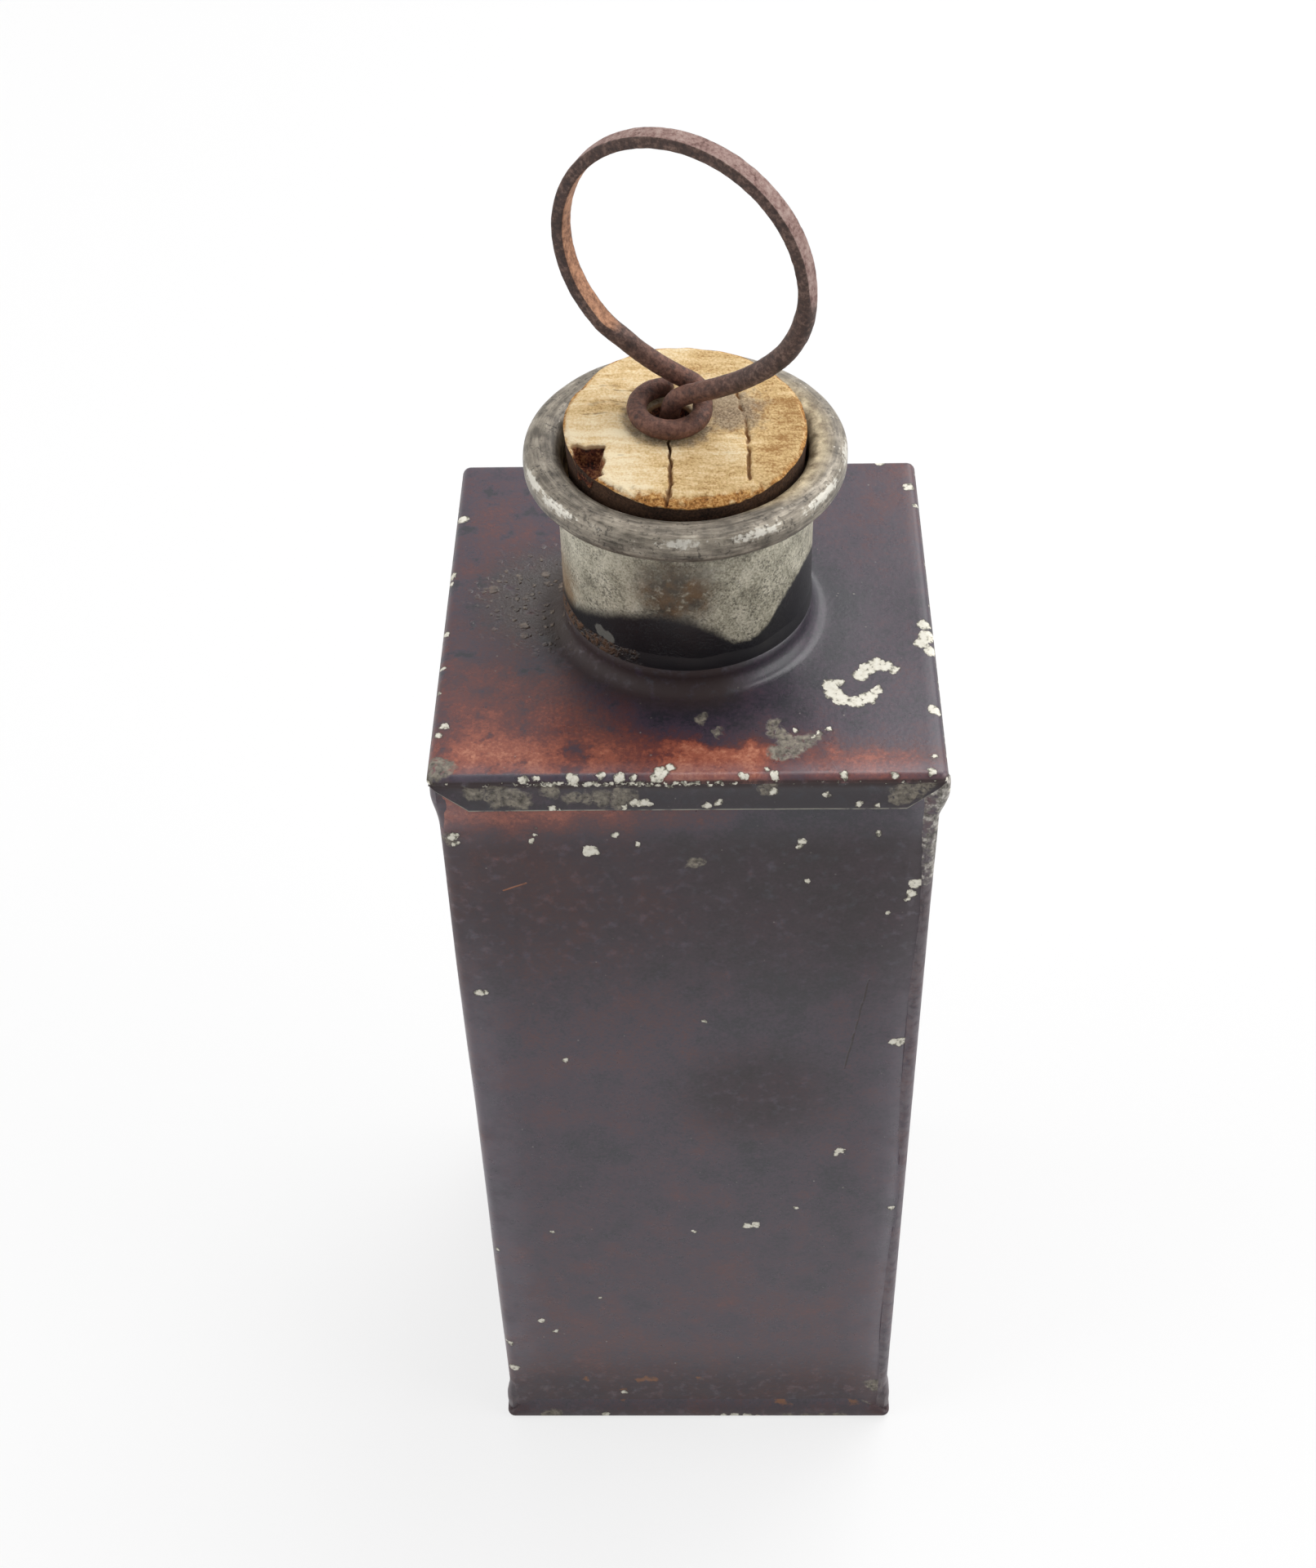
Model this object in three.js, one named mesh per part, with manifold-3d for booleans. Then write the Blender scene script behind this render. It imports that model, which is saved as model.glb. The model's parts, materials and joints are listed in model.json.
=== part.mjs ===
// Square japanned tinplate bottle, soldered up from sheet, with a cork and an iron pull ring.
// Millimetres, +Z up. The origin is the middle of the underside and the front faces -Y.
import * as THREE from "three";
import { ConvexGeometry } from "three/addons/geometries/ConvexGeometry.js";
import { mergeVertices } from "three/addons/utils/BufferGeometryUtils.js";
import Module from "manifold-3d";

const wasm = await Module();
wasm.setup();

// Sheet metal and how it meets
const SHEET = 0.4; // thickness of the tinplate
const LAP = 0.2; // gap between lapped sheets, where solder runs in
const SEAT = 0.3; // gap kept round dabs of solder and round the wire in the cork

// Body
const BODY_SIDE = 50.8; // outside width and depth of the square tube
const BODY_BEND = 1.2; // outside radius of its vertical bends
const SEAM_TAB = 5; // width of the tab lapped behind the front panel
const SEAM_STEP = 0.8; // how far the front panel stops short of the right side
const SEAM_ROUND = 0.5; // outside radius of the solder in that step
const SEAM_GAP = 0.1; // clearance between that solder and the sheet

// Shoulder and base plates
const SHOULDER_TOP = 122.4; // height of the shoulder above the underside
const SHOULDER_FLANGE = 4.6; // depth of the turned-down edge
const BASE_FLANGE = 5; // height of the turned-up edge
const FOLD = 0.9; // outside radius of the folded edge
const PLATE_CORNER = 1.1; // radius of the plate's corners in plan
const MITRE = 4; // length cut from each flange end at its free edge
const DAB_PROUD = 0.5; // how far a dab of solder stands out of the flange
const DAB_REACH = 1.3; // length of the notch cut and of its dab, in flange depths

// Neck and its rolled mouth
const NECK_RADIUS = 12.7; // inside
const NECK_FOOT = 1.2; // how far the neck reaches below the shoulder plate
const RIM_TOP = 22.2; // top of the mouth above the shoulder
const RIM_WIRE = 1.3; // radius of the wire inside the roll
const ROLL_GAP = 0.15; // clearance between that wire and the sheet
const ROLL_END = -115; // degrees, where the rolled sheet ends, 0 pointing outward
const COLLAR_RISE = 2.7; // height and radius of the collar's flare
const COLLAR_LIP = 0.4; // upright edge above the flare
const NECK_BEAD = 1.2; // height of the solder on top of the collar
const NECK_BEAD_TIP = 0.12; // its thickness at the top
const NECK_BEAD_GAP = 0.05; // clearance between it and the neck

// Cork
const CORK_CLEARANCE = 0.45; // gap to the neck at the cork's top
const CORK_TAPER = 0.8; // how much smaller its radius is at the foot
const CORK_TOP = 24.3; // height of its top above the shoulder, at the wire
const CORK_LENGTH = 18;
const CORK_LEAN_FRONT = 4.5; // degrees
const CORK_LEAN_RIGHT = 1.9; // degrees

// Pull ring, one wire
const WIRE = 1.05; // radius
const PULL_X = -1.5; // where the shank enters the cork
const PULL_Y = 0.8;
const RING_TURN = 26; // degrees, its right side towards the front
const RING_RADIUS = 12.85; // to the middle of the wire
const RING_OFFSET = 1; // ring centre to the right of the shank
const RING_HEIGHT = 18.9; // ring centre above the cork
const RING_FROM = -42; // degrees round the ring, 0 on the right, where the right leg joins it
const RING_TO = 222; // and where the left leg leaves it
const BAND = 0.68; // half thickness of the hammered band over the top of the ring
const BAND_SQUARE = 0.4; // how square the band is: 1 an oval, 0 a rectangle
const BAND_FROM = -12; // degrees round the ring
const BAND_TO = 232;
const BAND_FADE = 20; // degrees over which the round wire turns into the band
const COIL_CLEAR = 1.2; // between the coil and the shank inside it
const COIL_FROM = 68; // degrees round the shank, 0 on the right, counted down to the tail
const COIL_TO = -205;
const COIL_CLIMB = 1.2; // how much higher the coil is where the left leg meets it
const COIL_LOW_AT = 5; // degrees, from here on the coil lies on the cork
const FOOT_LENGTH = 6.5; // clenched end under the cork
const FOOT_BEND = 1.8; // radius of its bend, to the middle of the wire

// Points of the wire between cork and ring: along the ring, towards the back, up from the cork.
// They are chosen for a wire of this radius, and spread with a thicker one.
const LEG_WIRE = 1.05;
const RIGHT_LEG = [
  [0, 0, -1],
  [0.05, 0, 0.5],
  [0.55, 0, 2.2],
  [1.9, 0, 3.5],
  [3.2, 0, 4.35],
  [5.4, 0, 5.85],
  [8, 0, 7.8],
];
const LEFT_LEG = [
  [-7.3, 0.35, 8.65],
  [-5.7, 0.7, 7.35],
  [-3.8, 1.2, 5.8],
  [-1.95, 1.8, 4.45],
  [-0.45, 2.35, 3.5],
];

// Smoothness
const ROUND = 36; // facets round the neck and the cork
const CORNER_STEPS = 3; // facets in a quarter bend of the sheet
const ROLL_STEPS = 7; // pairs of facets along the rolled mouth
const WIRE_STEPS = 130; // lengths along the pull wire
const WIRE_SIDES = 8;
const FOOT_STEP = 30; // degrees between points of the wire's bends
const COIL_STEP = 14;
const RING_STEP = 12;
const GAP_SKIP = 5; // stretches of wire this many diameters apart along it are measured for their gap

const plateSide = BODY_SIDE + 2 * (LAP + SHEET);
const bodyHeight = SHOULDER_TOP - 2 * (SHEET + LAP);
const neckMiddle = NECK_RADIUS + SHEET / 2;
const neckOutside = NECK_RADIUS + SHEET;
const collarOutside = neckOutside + LAP + SHEET;
const collarTop = COLLAR_RISE + COLLAR_LIP;
const rollMiddle = RIM_WIRE + ROLL_GAP + SHEET / 2;
const rollX = neckMiddle + rollMiddle;
const rollZ = RIM_TOP - rollMiddle - SHEET / 2;
const coilRadius = 2 * WIRE + COIL_CLEAR;
const coilLow = WIRE + SEAT;
const quarter = Math.PI / 2;
const rad = THREE.MathUtils.degToRad;

const finishes = {
  japan: { color: 0x2b1f22, roughness: 0.4, metalness: 0.1 },
  tin: { color: 0x77736a, roughness: 0.5, metalness: 0.8 },
  solder: { color: 0x84827a, roughness: 0.45, metalness: 0.8 },
  iron: { color: 0x4b2f28, roughness: 0.75, metalness: 0.4 },
  cork: { color: 0xc79f62, roughness: 0.9, metalness: 0 },
};

// Closed geometry with shared corners, without collapsed triangles and with its faces pointing out.
function closed(geometry) {
  const bare = new THREE.BufferGeometry();
  bare.setAttribute("position", geometry.getAttribute("position"));
  bare.setIndex(geometry.index);
  const merged = mergeVertices(bare, 1e-4);
  const corner = (i) => new THREE.Vector3().fromBufferAttribute(merged.attributes.position, i);
  const kept = [];
  let volume = 0;
  for (let i = 0; i < merged.index.count; i += 3) {
    const [a, b, c] = merged.index.array.slice(i, i + 3);
    if (a === b || b === c || c === a) continue;
    kept.push(a, b, c);
    volume += corner(a).dot(corner(b).cross(corner(c)));
  }
  merged.setIndex(volume > 0 ? kept : kept.reverse());
  return merged;
}

function solid(geometry) {
  const { index, attributes } = closed(geometry);
  return new wasm.Manifold(new wasm.Mesh({
    numProp: 3,
    vertProperties: attributes.position.array,
    triVerts: Uint32Array.from(index.array),
  }));
}

function geometryOf(manifold) {
  const { vertProperties, triVerts } = manifold.getMesh();
  const geometry = new THREE.BufferGeometry();
  geometry.setAttribute("position", new THREE.BufferAttribute(vertProperties, 3));
  geometry.setIndex(new THREE.BufferAttribute(triVerts, 1));
  return geometry;
}

function part(name, finish, geometry) {
  const mesh = new THREE.Mesh(closed(geometry), new THREE.MeshStandardMaterial(finishes[finish]));
  mesh.name = name;
  return mesh;
}

// Middle line of a bent strip: straight runs, with each right-angled corner turned on a radius.
function bentLine(corners, radius) {
  const path = new THREE.Path();
  path.moveTo(corners[0].x, corners[0].y);
  corners.slice(1, -1).forEach((corner, i) => {
    const back = corners[i].clone().sub(corner).setLength(radius);
    const on = corners[i + 2].clone().sub(corner).setLength(radius);
    const centre = corner.clone().add(back).add(on);
    const start = on.clone().negate().angle();
    const end = back.clone().negate().angle();
    path.lineTo(corner.x + back.x, corner.y + back.y);
    path.absarc(centre.x, centre.y, radius, start, end, back.cross(on) > 0);
  });
  path.lineTo(corners.at(-1).x, corners.at(-1).y);
  return path.getPoints(CORNER_STEPS);
}

// Outline of a sheet of even thickness along its middle line.
function sheetOutline(line) {
  const face = (side) => line.map((point, i) => {
    const into = point.clone().sub(line[Math.max(i - 1, 0)]).normalize();
    const out = line[Math.min(i + 1, line.length - 1)].clone().sub(point).normalize();
    const along = into.clone().add(out).normalize();
    const reach = side * SHEET / 2 / Math.max(along.dot(into), along.dot(out));
    return new THREE.Vector2(point.x - along.y * reach, point.y + along.x * reach);
  });
  return [...face(1), ...face(-1).reverse()];
}

function turned(outline) {
  return new THREE.LatheGeometry([...outline, outline[0]], ROUND).rotateX(quarter);
}

function upright(shape, depth) {
  return new THREE.ExtrudeGeometry(shape, { depth, bevelEnabled: false, curveSegments: CORNER_STEPS });
}

function roundedSquare(side, corner) {
  const far = side / 2 - corner;
  const shape = new THREE.Shape();
  shape.absarc(far, far, corner, 0, quarter);
  shape.absarc(-far, far, corner, quarter, 2 * quarter);
  shape.absarc(-far, -far, corner, 2 * quarter, 3 * quarter);
  shape.absarc(far, -far, corner, 3 * quarter, 4 * quarter);
  return shape;
}

// Square block with rounded corners and edges, its top at z = 0, at least as deep as asked.
function block(side, corner, fold, depth) {
  const geometry = new THREE.ExtrudeGeometry(roundedSquare(side - 2 * fold, corner - fold), {
    depth,
    bevelThickness: fold,
    bevelSize: fold,
    bevelSegments: CORNER_STEPS,
    curveSegments: CORNER_STEPS,
  });
  return geometry.translate(0, 0, -depth - fold);
}

// The corner region, right and back, beyond a flat cut across the two flange ends.
function notch(flange, away) {
  const drop = FOLD - flange;
  const right = new THREE.Vector3(0, -MITRE, drop).multiplyScalar(DAB_REACH);
  const left = new THREE.Vector3(-MITRE, 0, drop).multiplyScalar(DAB_REACH);
  const outside = new THREE.Vector3(MITRE, MITRE, drop).multiplyScalar(DAB_REACH);
  const start = new THREE.Vector3(plateSide / 2, plateSide / 2, -FOLD);
  start.add(right.clone().cross(left).setLength(away));
  return new ConvexGeometry([start, ...[right, left, outside].map((arm) => arm.add(start))]);
}

// Square plate with its edges folded down and the flange ends cut back at the corners.
function plate(flange) {
  const inside = block(plateSide - 2 * SHEET, PLATE_CORNER - SHEET, FOLD - SHEET, flange);
  const below = new THREE.BoxGeometry(2 * plateSide, 2 * plateSide, 2 * flange);
  let result = solid(block(plateSide, PLATE_CORNER, FOLD, flange))
    .subtract(solid(inside.translate(0, 0, -SHEET)))
    .subtract(solid(below.translate(0, 0, -2 * flange)));
  for (let turn = 0; turn < 4; turn += 1) {
    result = result.subtract(solid(notch(flange, 0).rotateZ(turn * quarter)));
  }
  return result;
}

// Solder in the notch at the right back corner, clear of the flanges and of the body.
function cornerDab(flange) {
  const outer = block(plateSide + 2 * DAB_PROUD, PLATE_CORNER + DAB_PROUD, FOLD, 2 * flange);
  const body = upright(roundedSquare(BODY_SIDE + 2 * SEAT, BODY_BEND + SEAT), 3 * flange);
  return geometryOf(solid(notch(flange, SEAT))
    .intersect(solid(outer))
    .subtract(solid(body.translate(0, 0, -3 * flange))));
}

// One dab at each corner, named in turn from the right back corner, counter-clockwise from above.
function cornerDabs(prefix, corners, flange) {
  return corners.map((corner, turn) => {
    const mesh = part(`${prefix}_${corner}`, "solder", cornerDab(flange));
    mesh.rotation.z = turn * quarter;
    return mesh;
  });
}

function bodyWrap() {
  const far = BODY_SIDE / 2 - SHEET / 2;
  const tabLine = -far + SHEET + LAP;
  const corners = [
    new THREE.Vector2(BODY_SIDE / 2 - SEAM_STEP, -far),
    new THREE.Vector2(-far, -far),
    new THREE.Vector2(-far, far),
    new THREE.Vector2(far, far),
    new THREE.Vector2(far, tabLine),
    new THREE.Vector2(far - SEAM_TAB, tabLine),
  ];
  const outline = sheetOutline(bentLine(corners, BODY_BEND - SHEET / 2));
  return part("body_wrap", "japan", upright(new THREE.Shape(outline), bodyHeight));
}

// Bead that fills the step between the front panel's raw edge and the bend of the right panel.
function sideSeamSolder() {
  const far = BODY_SIDE / 2;
  const start = far - SEAM_STEP + SEAM_GAP;
  const bendX = far - BODY_BEND;
  const bendY = -far + SHEET + LAP + BODY_BEND;
  const reach = BODY_BEND + SEAM_GAP;
  const shape = new THREE.Shape();
  shape.moveTo(start, -far);
  shape.lineTo(far - SEAM_ROUND, -far);
  shape.absarc(far - SEAM_ROUND, -far + SEAM_ROUND, SEAM_ROUND, -quarter, 0);
  shape.absarc(bendX, bendY, reach, -Math.acos(BODY_BEND / reach), -Math.acos((start - bendX) / reach), true);
  return part("side_seam_solder", "solder", upright(shape, bodyHeight));
}

function shoulderPlate() {
  const flareX = collarOutside + COLLAR_RISE;
  const flare = new THREE.Path();
  flare.moveTo(flareX + SHEET, -SHEET / 2);
  flare.lineTo(flareX, -SHEET / 2);
  flare.absarc(flareX, COLLAR_RISE, COLLAR_RISE + SHEET / 2, 3 * quarter, 2 * quarter, true);
  flare.lineTo(collarOutside - SHEET / 2, collarTop);
  const collar = turned(sheetOutline(flare.getPoints(CORNER_STEPS)));
  const hole = new THREE.CylinderGeometry(flareX, flareX, 4 * SHEET, ROUND).rotateX(quarter);
  const whole = plate(SHOULDER_FLANGE).subtract(solid(hole)).add(solid(collar));
  return part("shoulder_plate", "japan", geometryOf(whole));
}

function basePlate() {
  return part("base_plate", "japan", geometryOf(plate(BASE_FLANGE)));
}

function neckTube() {
  const line = new THREE.Path();
  line.moveTo(neckMiddle, -SHEET - NECK_FOOT);
  line.lineTo(neckMiddle, rollZ);
  line.absarc(rollX, rollZ, rollMiddle, 2 * quarter, rad(ROLL_END), true);
  return part("neck_tube", "tin", turned(sheetOutline(line.getPoints(ROLL_STEPS))));
}

function rimWire() {
  const circle = new THREE.Path().absarc(rollX, rollZ, RIM_WIRE, 0, 4 * quarter);
  return part("rim_wire", "iron", turned(circle.getPoints(CORNER_STEPS + 1).slice(0, -1)));
}

function neckSolder() {
  const inner = neckOutside + NECK_BEAD_GAP;
  const tip = inner + NECK_BEAD_TIP;
  const top = collarTop + NECK_BEAD;
  const profile = new THREE.Path();
  profile.moveTo(inner, collarTop);
  profile.lineTo(collarOutside, collarTop);
  profile.quadraticCurveTo(tip, collarTop, tip, top);
  profile.lineTo(inner, top);
  return part("neck_solder", "solder", turned(profile.getPoints(CORNER_STEPS)));
}

// Taper cork, trimmed top and bottom square to the leaning wire, with a bore for the shank.
function cork(wireFrame) {
  const topRadius = NECK_RADIUS - CORK_CLEARANCE;
  const spare = CORK_LENGTH / 2;
  const low = CORK_TOP - CORK_LENGTH - spare;
  const profile = [
    new THREE.Vector2(0, low),
    new THREE.Vector2(topRadius - CORK_TAPER * (CORK_LENGTH + spare) / CORK_LENGTH, low),
    new THREE.Vector2(topRadius, CORK_TOP),
    new THREE.Vector2(topRadius, CORK_TOP + spare),
    new THREE.Vector2(0, CORK_TOP + spare),
  ];
  const slab = new THREE.BoxGeometry(4 * topRadius, 4 * topRadius, CORK_LENGTH);
  const bore = new THREE.CylinderGeometry(WIRE + SEAT, WIRE + SEAT, 2 * CORK_LENGTH, 2 * WIRE_SIDES);
  const whole = solid(turned(profile))
    .intersect(solid(slab.translate(0, 0, -CORK_LENGTH / 2).applyMatrix4(wireFrame.matrix)))
    .subtract(solid(bore.rotateX(quarter).applyMatrix4(wireFrame.matrix)));
  return part("cork", "cork", geometryOf(whole));
}

// Frame of the pull wire: on the cork's top at the shank, leaning with the cork, X along the ring.
function pullFrame() {
  const frame = new THREE.Group();
  frame.position.set(PULL_X, PULL_Y, CORK_TOP);
  frame.rotation.set(rad(CORK_LEAN_FRONT), rad(CORK_LEAN_RIGHT), rad(-RING_TURN));
  frame.updateMatrix();
  return frame;
}

// Hand-chosen points of a leg of the pull wire, at the size of its wire.
function leg(points) {
  return points.map((point) => new THREE.Vector3(...point).multiplyScalar(WIRE / LEG_WIRE));
}

// Middle line of the pull wire: clenched foot, up the shank, round the ring and down to the coil's tail.
function pullRoute() {
  const points = [];
  const low = -CORK_LENGTH - SEAT - WIRE;
  points.push(new THREE.Vector3(-FOOT_LENGTH, 0, low));
  for (let turn = 0; turn <= 90; turn += FOOT_STEP) {
    const aside = -FOOT_BEND + FOOT_BEND * Math.sin(rad(turn));
    points.push(new THREE.Vector3(aside, 0, low + FOOT_BEND - FOOT_BEND * Math.cos(rad(turn))));
  }
  points.push(new THREE.Vector3(0, 0, -CORK_LENGTH / 2));
  points.push(...leg(RIGHT_LEG));
  for (let turn = RING_FROM; turn <= RING_TO; turn += RING_STEP) {
    const across = RING_OFFSET + RING_RADIUS * Math.cos(rad(turn));
    points.push(new THREE.Vector3(across, 0, RING_HEIGHT + RING_RADIUS * Math.sin(rad(turn))));
  }
  points.push(...leg(LEFT_LEG));
  for (let turn = COIL_FROM; turn >= COIL_TO; turn -= COIL_STEP) {
    const high = THREE.MathUtils.smoothstep(turn, COIL_LOW_AT, COIL_FROM);
    const height = coilLow + COIL_CLIMB * high;
    const across = coilRadius * Math.cos(rad(turn));
    points.push(new THREE.Vector3(across, coilRadius * Math.sin(rad(turn)), height));
  }
  return new THREE.CatmullRomCurve3(points, false, "centripetal");
}

// How far the wire is hammered flat at a point, from 0 round to 1 flat.
function flatness(point) {
  const angle = Math.atan2(point.z - RING_HEIGHT, point.x - RING_OFFSET);
  const turn = THREE.MathUtils.euclideanModulo(THREE.MathUtils.radToDeg(angle) + 90, 360) - 90;
  const starts = THREE.MathUtils.smoothstep(turn, BAND_FROM, BAND_FROM + BAND_FADE);
  return starts * (1 - THREE.MathUtils.smoothstep(turn, BAND_TO - BAND_FADE, BAND_TO));
}

// Least clear distance between stretches of the wire that are some diameters apart along it.
function gapToItself(points, length) {
  const skip = Math.ceil(GAP_SKIP * 2 * WIRE * WIRE_STEPS / length);
  let least = Infinity;
  points.forEach((point, i) => {
    for (const other of points.slice(i + skip)) least = Math.min(least, point.distanceTo(other));
  });
  return least - 2 * WIRE;
}

function pullWire() {
  const route = pullRoute();
  const points = route.getSpacedPoints(WIRE_STEPS);
  const { normals, binormals } = route.computeFrenetFrames(WIRE_STEPS, false);
  const highest = points.reduce((best, point, i) => (point.z > points[best].z ? i : best), 0);
  const twist = Math.atan2(binormals[highest].z, normals[highest].z);
  const corners = [];
  points.forEach((point, i) => {
    const radial = normals[i].clone().multiplyScalar(Math.cos(twist));
    radial.addScaledVector(binormals[i], Math.sin(twist));
    const axial = binormals[i].clone().multiplyScalar(Math.cos(twist));
    axial.addScaledVector(normals[i], -Math.sin(twist));
    const flat = flatness(point);
    const thick = THREE.MathUtils.lerp(WIRE, BAND, flat);
    const square = THREE.MathUtils.lerp(1, BAND_SQUARE, flat);
    const share = (value) => Math.sign(value) * Math.abs(value) ** square;
    for (let side = 0; side < WIRE_SIDES; side += 1) {
      const angle = (side + 0.5) * 4 * quarter / WIRE_SIDES;
      const corner = point.clone().addScaledVector(radial, thick * share(Math.cos(angle)));
      corners.push(corner.addScaledVector(axial, WIRE * share(Math.sin(angle))));
    }
  });
  const faces = [];
  for (let side = 1; side < WIRE_SIDES - 1; side += 1) {
    const last = WIRE_STEPS * WIRE_SIDES;
    faces.push(0, side + 1, side, last, last + side, last + side + 1);
  }
  for (let step = 0; step < WIRE_STEPS; step += 1) {
    for (let side = 0; side < WIRE_SIDES; side += 1) {
      const here = step * WIRE_SIDES + side;
      const beside = step * WIRE_SIDES + (side + 1) % WIRE_SIDES;
      faces.push(here, beside, here + WIRE_SIDES, beside, beside + WIRE_SIDES, here + WIRE_SIDES);
    }
  }
  const geometry = new THREE.BufferGeometry().setFromPoints(corners);
  geometry.setIndex(faces);
  console.log(`pull_wire: least gap to itself ${gapToItself(points, route.getLength()).toFixed(2)} mm`);
  return part("pull_wire", "iron", geometry);
}

const body = new THREE.Group();
body.position.z = SHEET + LAP;
body.add(bodyWrap(), sideSeamSolder());

const shoulder = new THREE.Group();
shoulder.position.z = SHOULDER_TOP;
const upperCorners = ["back_right", "back_left", "front_left", "front_right"];
shoulder.add(shoulderPlate(), neckTube(), rimWire(), neckSolder());
shoulder.add(...cornerDabs("shoulder_solder", upperCorners, SHOULDER_FLANGE));

// The base is a plate of the same kind, turned over.
const base = new THREE.Group();
base.rotation.x = 2 * quarter;
const lowerCorners = ["front_right", "front_left", "back_left", "back_right"];
base.add(basePlate(), ...cornerDabs("base_solder", lowerCorners, BASE_FLANGE));

const stopper = new THREE.Group();
stopper.position.z = SHOULDER_TOP;
const pull = pullFrame();
pull.add(pullWire());
stopper.add(cork(pull), pull);

const tin = new THREE.Group();
tin.name = "medical_tin";
tin.add(body, shoulder, base, stopper);

export default tin;
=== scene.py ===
import json
import math

import bpy
from mathutils import Matrix, Vector, noise


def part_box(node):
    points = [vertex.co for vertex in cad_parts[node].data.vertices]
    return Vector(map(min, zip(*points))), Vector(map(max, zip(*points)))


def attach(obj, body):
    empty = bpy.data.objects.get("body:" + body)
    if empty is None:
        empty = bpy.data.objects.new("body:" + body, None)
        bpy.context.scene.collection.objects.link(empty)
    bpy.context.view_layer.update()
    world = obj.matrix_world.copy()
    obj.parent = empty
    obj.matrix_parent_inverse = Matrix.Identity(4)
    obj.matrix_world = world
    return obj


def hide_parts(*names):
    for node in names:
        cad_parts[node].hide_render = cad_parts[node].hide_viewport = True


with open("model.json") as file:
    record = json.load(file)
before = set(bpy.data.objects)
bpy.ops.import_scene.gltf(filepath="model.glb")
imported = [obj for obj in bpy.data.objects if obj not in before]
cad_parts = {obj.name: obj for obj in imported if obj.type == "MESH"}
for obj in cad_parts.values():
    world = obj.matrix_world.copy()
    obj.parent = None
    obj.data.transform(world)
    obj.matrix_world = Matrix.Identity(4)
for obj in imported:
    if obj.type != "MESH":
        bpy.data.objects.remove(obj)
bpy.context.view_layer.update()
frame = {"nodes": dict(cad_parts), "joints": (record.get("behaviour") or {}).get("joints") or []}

MM = 0.001
SHARP_EDGE = math.radians(50)

# Sheet metal
SHEET = 0.4
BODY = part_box("body_wrap")[1].x / MM
BODY_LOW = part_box("body_wrap")[0].z / MM
BODY_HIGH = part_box("body_wrap")[1].z / MM
BODY_BEND = 1.2
SEAM_STEP = 0.8
SEAM_TAB = 5
LAP = 0.2
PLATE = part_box("base_plate")[1].x / MM
PLATE_CORNER = 0.95
FOLD = 0.9
SHOULDER_FLANGE = 4.6
BASE_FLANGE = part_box("base_plate")[1].z / MM
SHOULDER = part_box("shoulder_plate")[0].z / MM + SHOULDER_FLANGE
MITRE = 4
FLANGE_ROWS = (0.2, 0.4, 0.6, 0.8, 0.93, 1)

# Neck and collar, heights above the shoulder
NECK = 12.9
NECK_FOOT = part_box("neck_tube")[0].z / MM - SHOULDER
RIM_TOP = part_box("neck_tube")[1].z / MM - SHOULDER
ROLL = 1.65
ROLL_END = -115
ROLL_SQUARE = 0.68
ROLL_CREASES = (0.77, 0.84)
NECK_STEPS = 24
ROLL_STEPS = 56
NECK_COLUMNS = 160
LIP_IN = 0.26
LIP_HEIGHT = 2.2
COLLAR = 13.22
COLLAR_RISE = 1.7
COLLAR_LIP = 1.4
FEATHER = 0.2
NECK_BEAD = 2

# Cork
CORK_RADIUS = 12.15
CORK_TAPER = 0.75
CORK_LENGTH = 17.8
CORK_COLUMNS = 300
CORK_RINGS = 78
CORK_ROWS = 16

# Pull ring
WIRE = 1.04
WIRE_SIDES = 20
WIRE_STEP = 0.32
WIRE_TIP = 0.6
RING_TURN = 26
RING_RADIUS = 12.85
RING_OFFSET = 1
RING_HEIGHT = 18.9
RING_FROM = -42
RING_TO = 222
BAND = 0.64
BAND_SQUARE = 0.3
BAND_FROM = -12
BAND_TO = 246
BAND_FADE = 20
COIL_RADIUS = 3.3
COIL_FROM = 68
COIL_TO = -258
COIL_LOW = 1.05
COIL_CLIMB = 1.35
FOOT_LENGTH = 6.5
FOOT_BEND = 1.8
FOOT_LOW = -19.35
RIGHT_LEG = [
    (0, 0, -1), (0.05, 0, 0.5), (0.55, 0, 2.2), (1.9, 0, 3.5), (3.2, 0, 4.3), (5.4, 0, 5.75),
    (8, 0, 7.75),
]
LEFT_LEG = [
    (-7.3, 0.35, 8.65), (-5.7, 0.7, 7.35), (-3.8, 1.2, 5.8), (-1.95, 1.8, 4.45), (-0.45, 2.35, 3.5),
]

# Places where the japanning has chipped to pale metal: across, up or back, radius
FRONT_CHIPS = [
    (-10, 111.3, 0.8), (-7.4, 113.7, 0.45), (-5.3, 112.3, 0.35), (11.5, 112.6, 0.5),
    (11.4, 111.8, 0.35), (19.4, 113.7, 0.35), (12.3, 106.8, 0.3), (-16, 112.9, 0.38),
    (-15.6, 113.9, 0.3), (-15.4, 114.9, 0.22), (-24, 113.6, 0.55), (-23.8, 112.5, 0.4),
    (23.6, 106.2, 0.75), (23.2, 104.7, 0.6), (22.9, 103.9, 0.35), (20.9, 101.7, 0.3),
    (22.6, 80.2, 0.6), (23.5, 80.3, 0.6), (23.1, 79.7, 0.4), (-23.3, 89.2, 0.55),
    (-22.6, 89.3, 0.4), (-14.3, 77.4, 0.35), (1.4, 84.1, 0.3), (17.3, 59.9, 0.6), (16.9, 59.2, 0.4),
    (6.5, 44.7, 0.6), (7.5, 44.9, 0.6), (12.3, 48.6, 0.4), (23.8, 48.5, 0.4), (-0.3, 43.4, 0.3),
    (-17.8, 43.5, 0.3), (-24.8, 39.6, 0.4), (-12.3, 28.6, 0.35), (-20.1, 23.4, 0.5),
    (-18.5, 20.9, 0.4), (-24.7, 18, 0.55), (-24.6, 11.9, 0.75), (-10, 5.9, 0.4),
]
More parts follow.
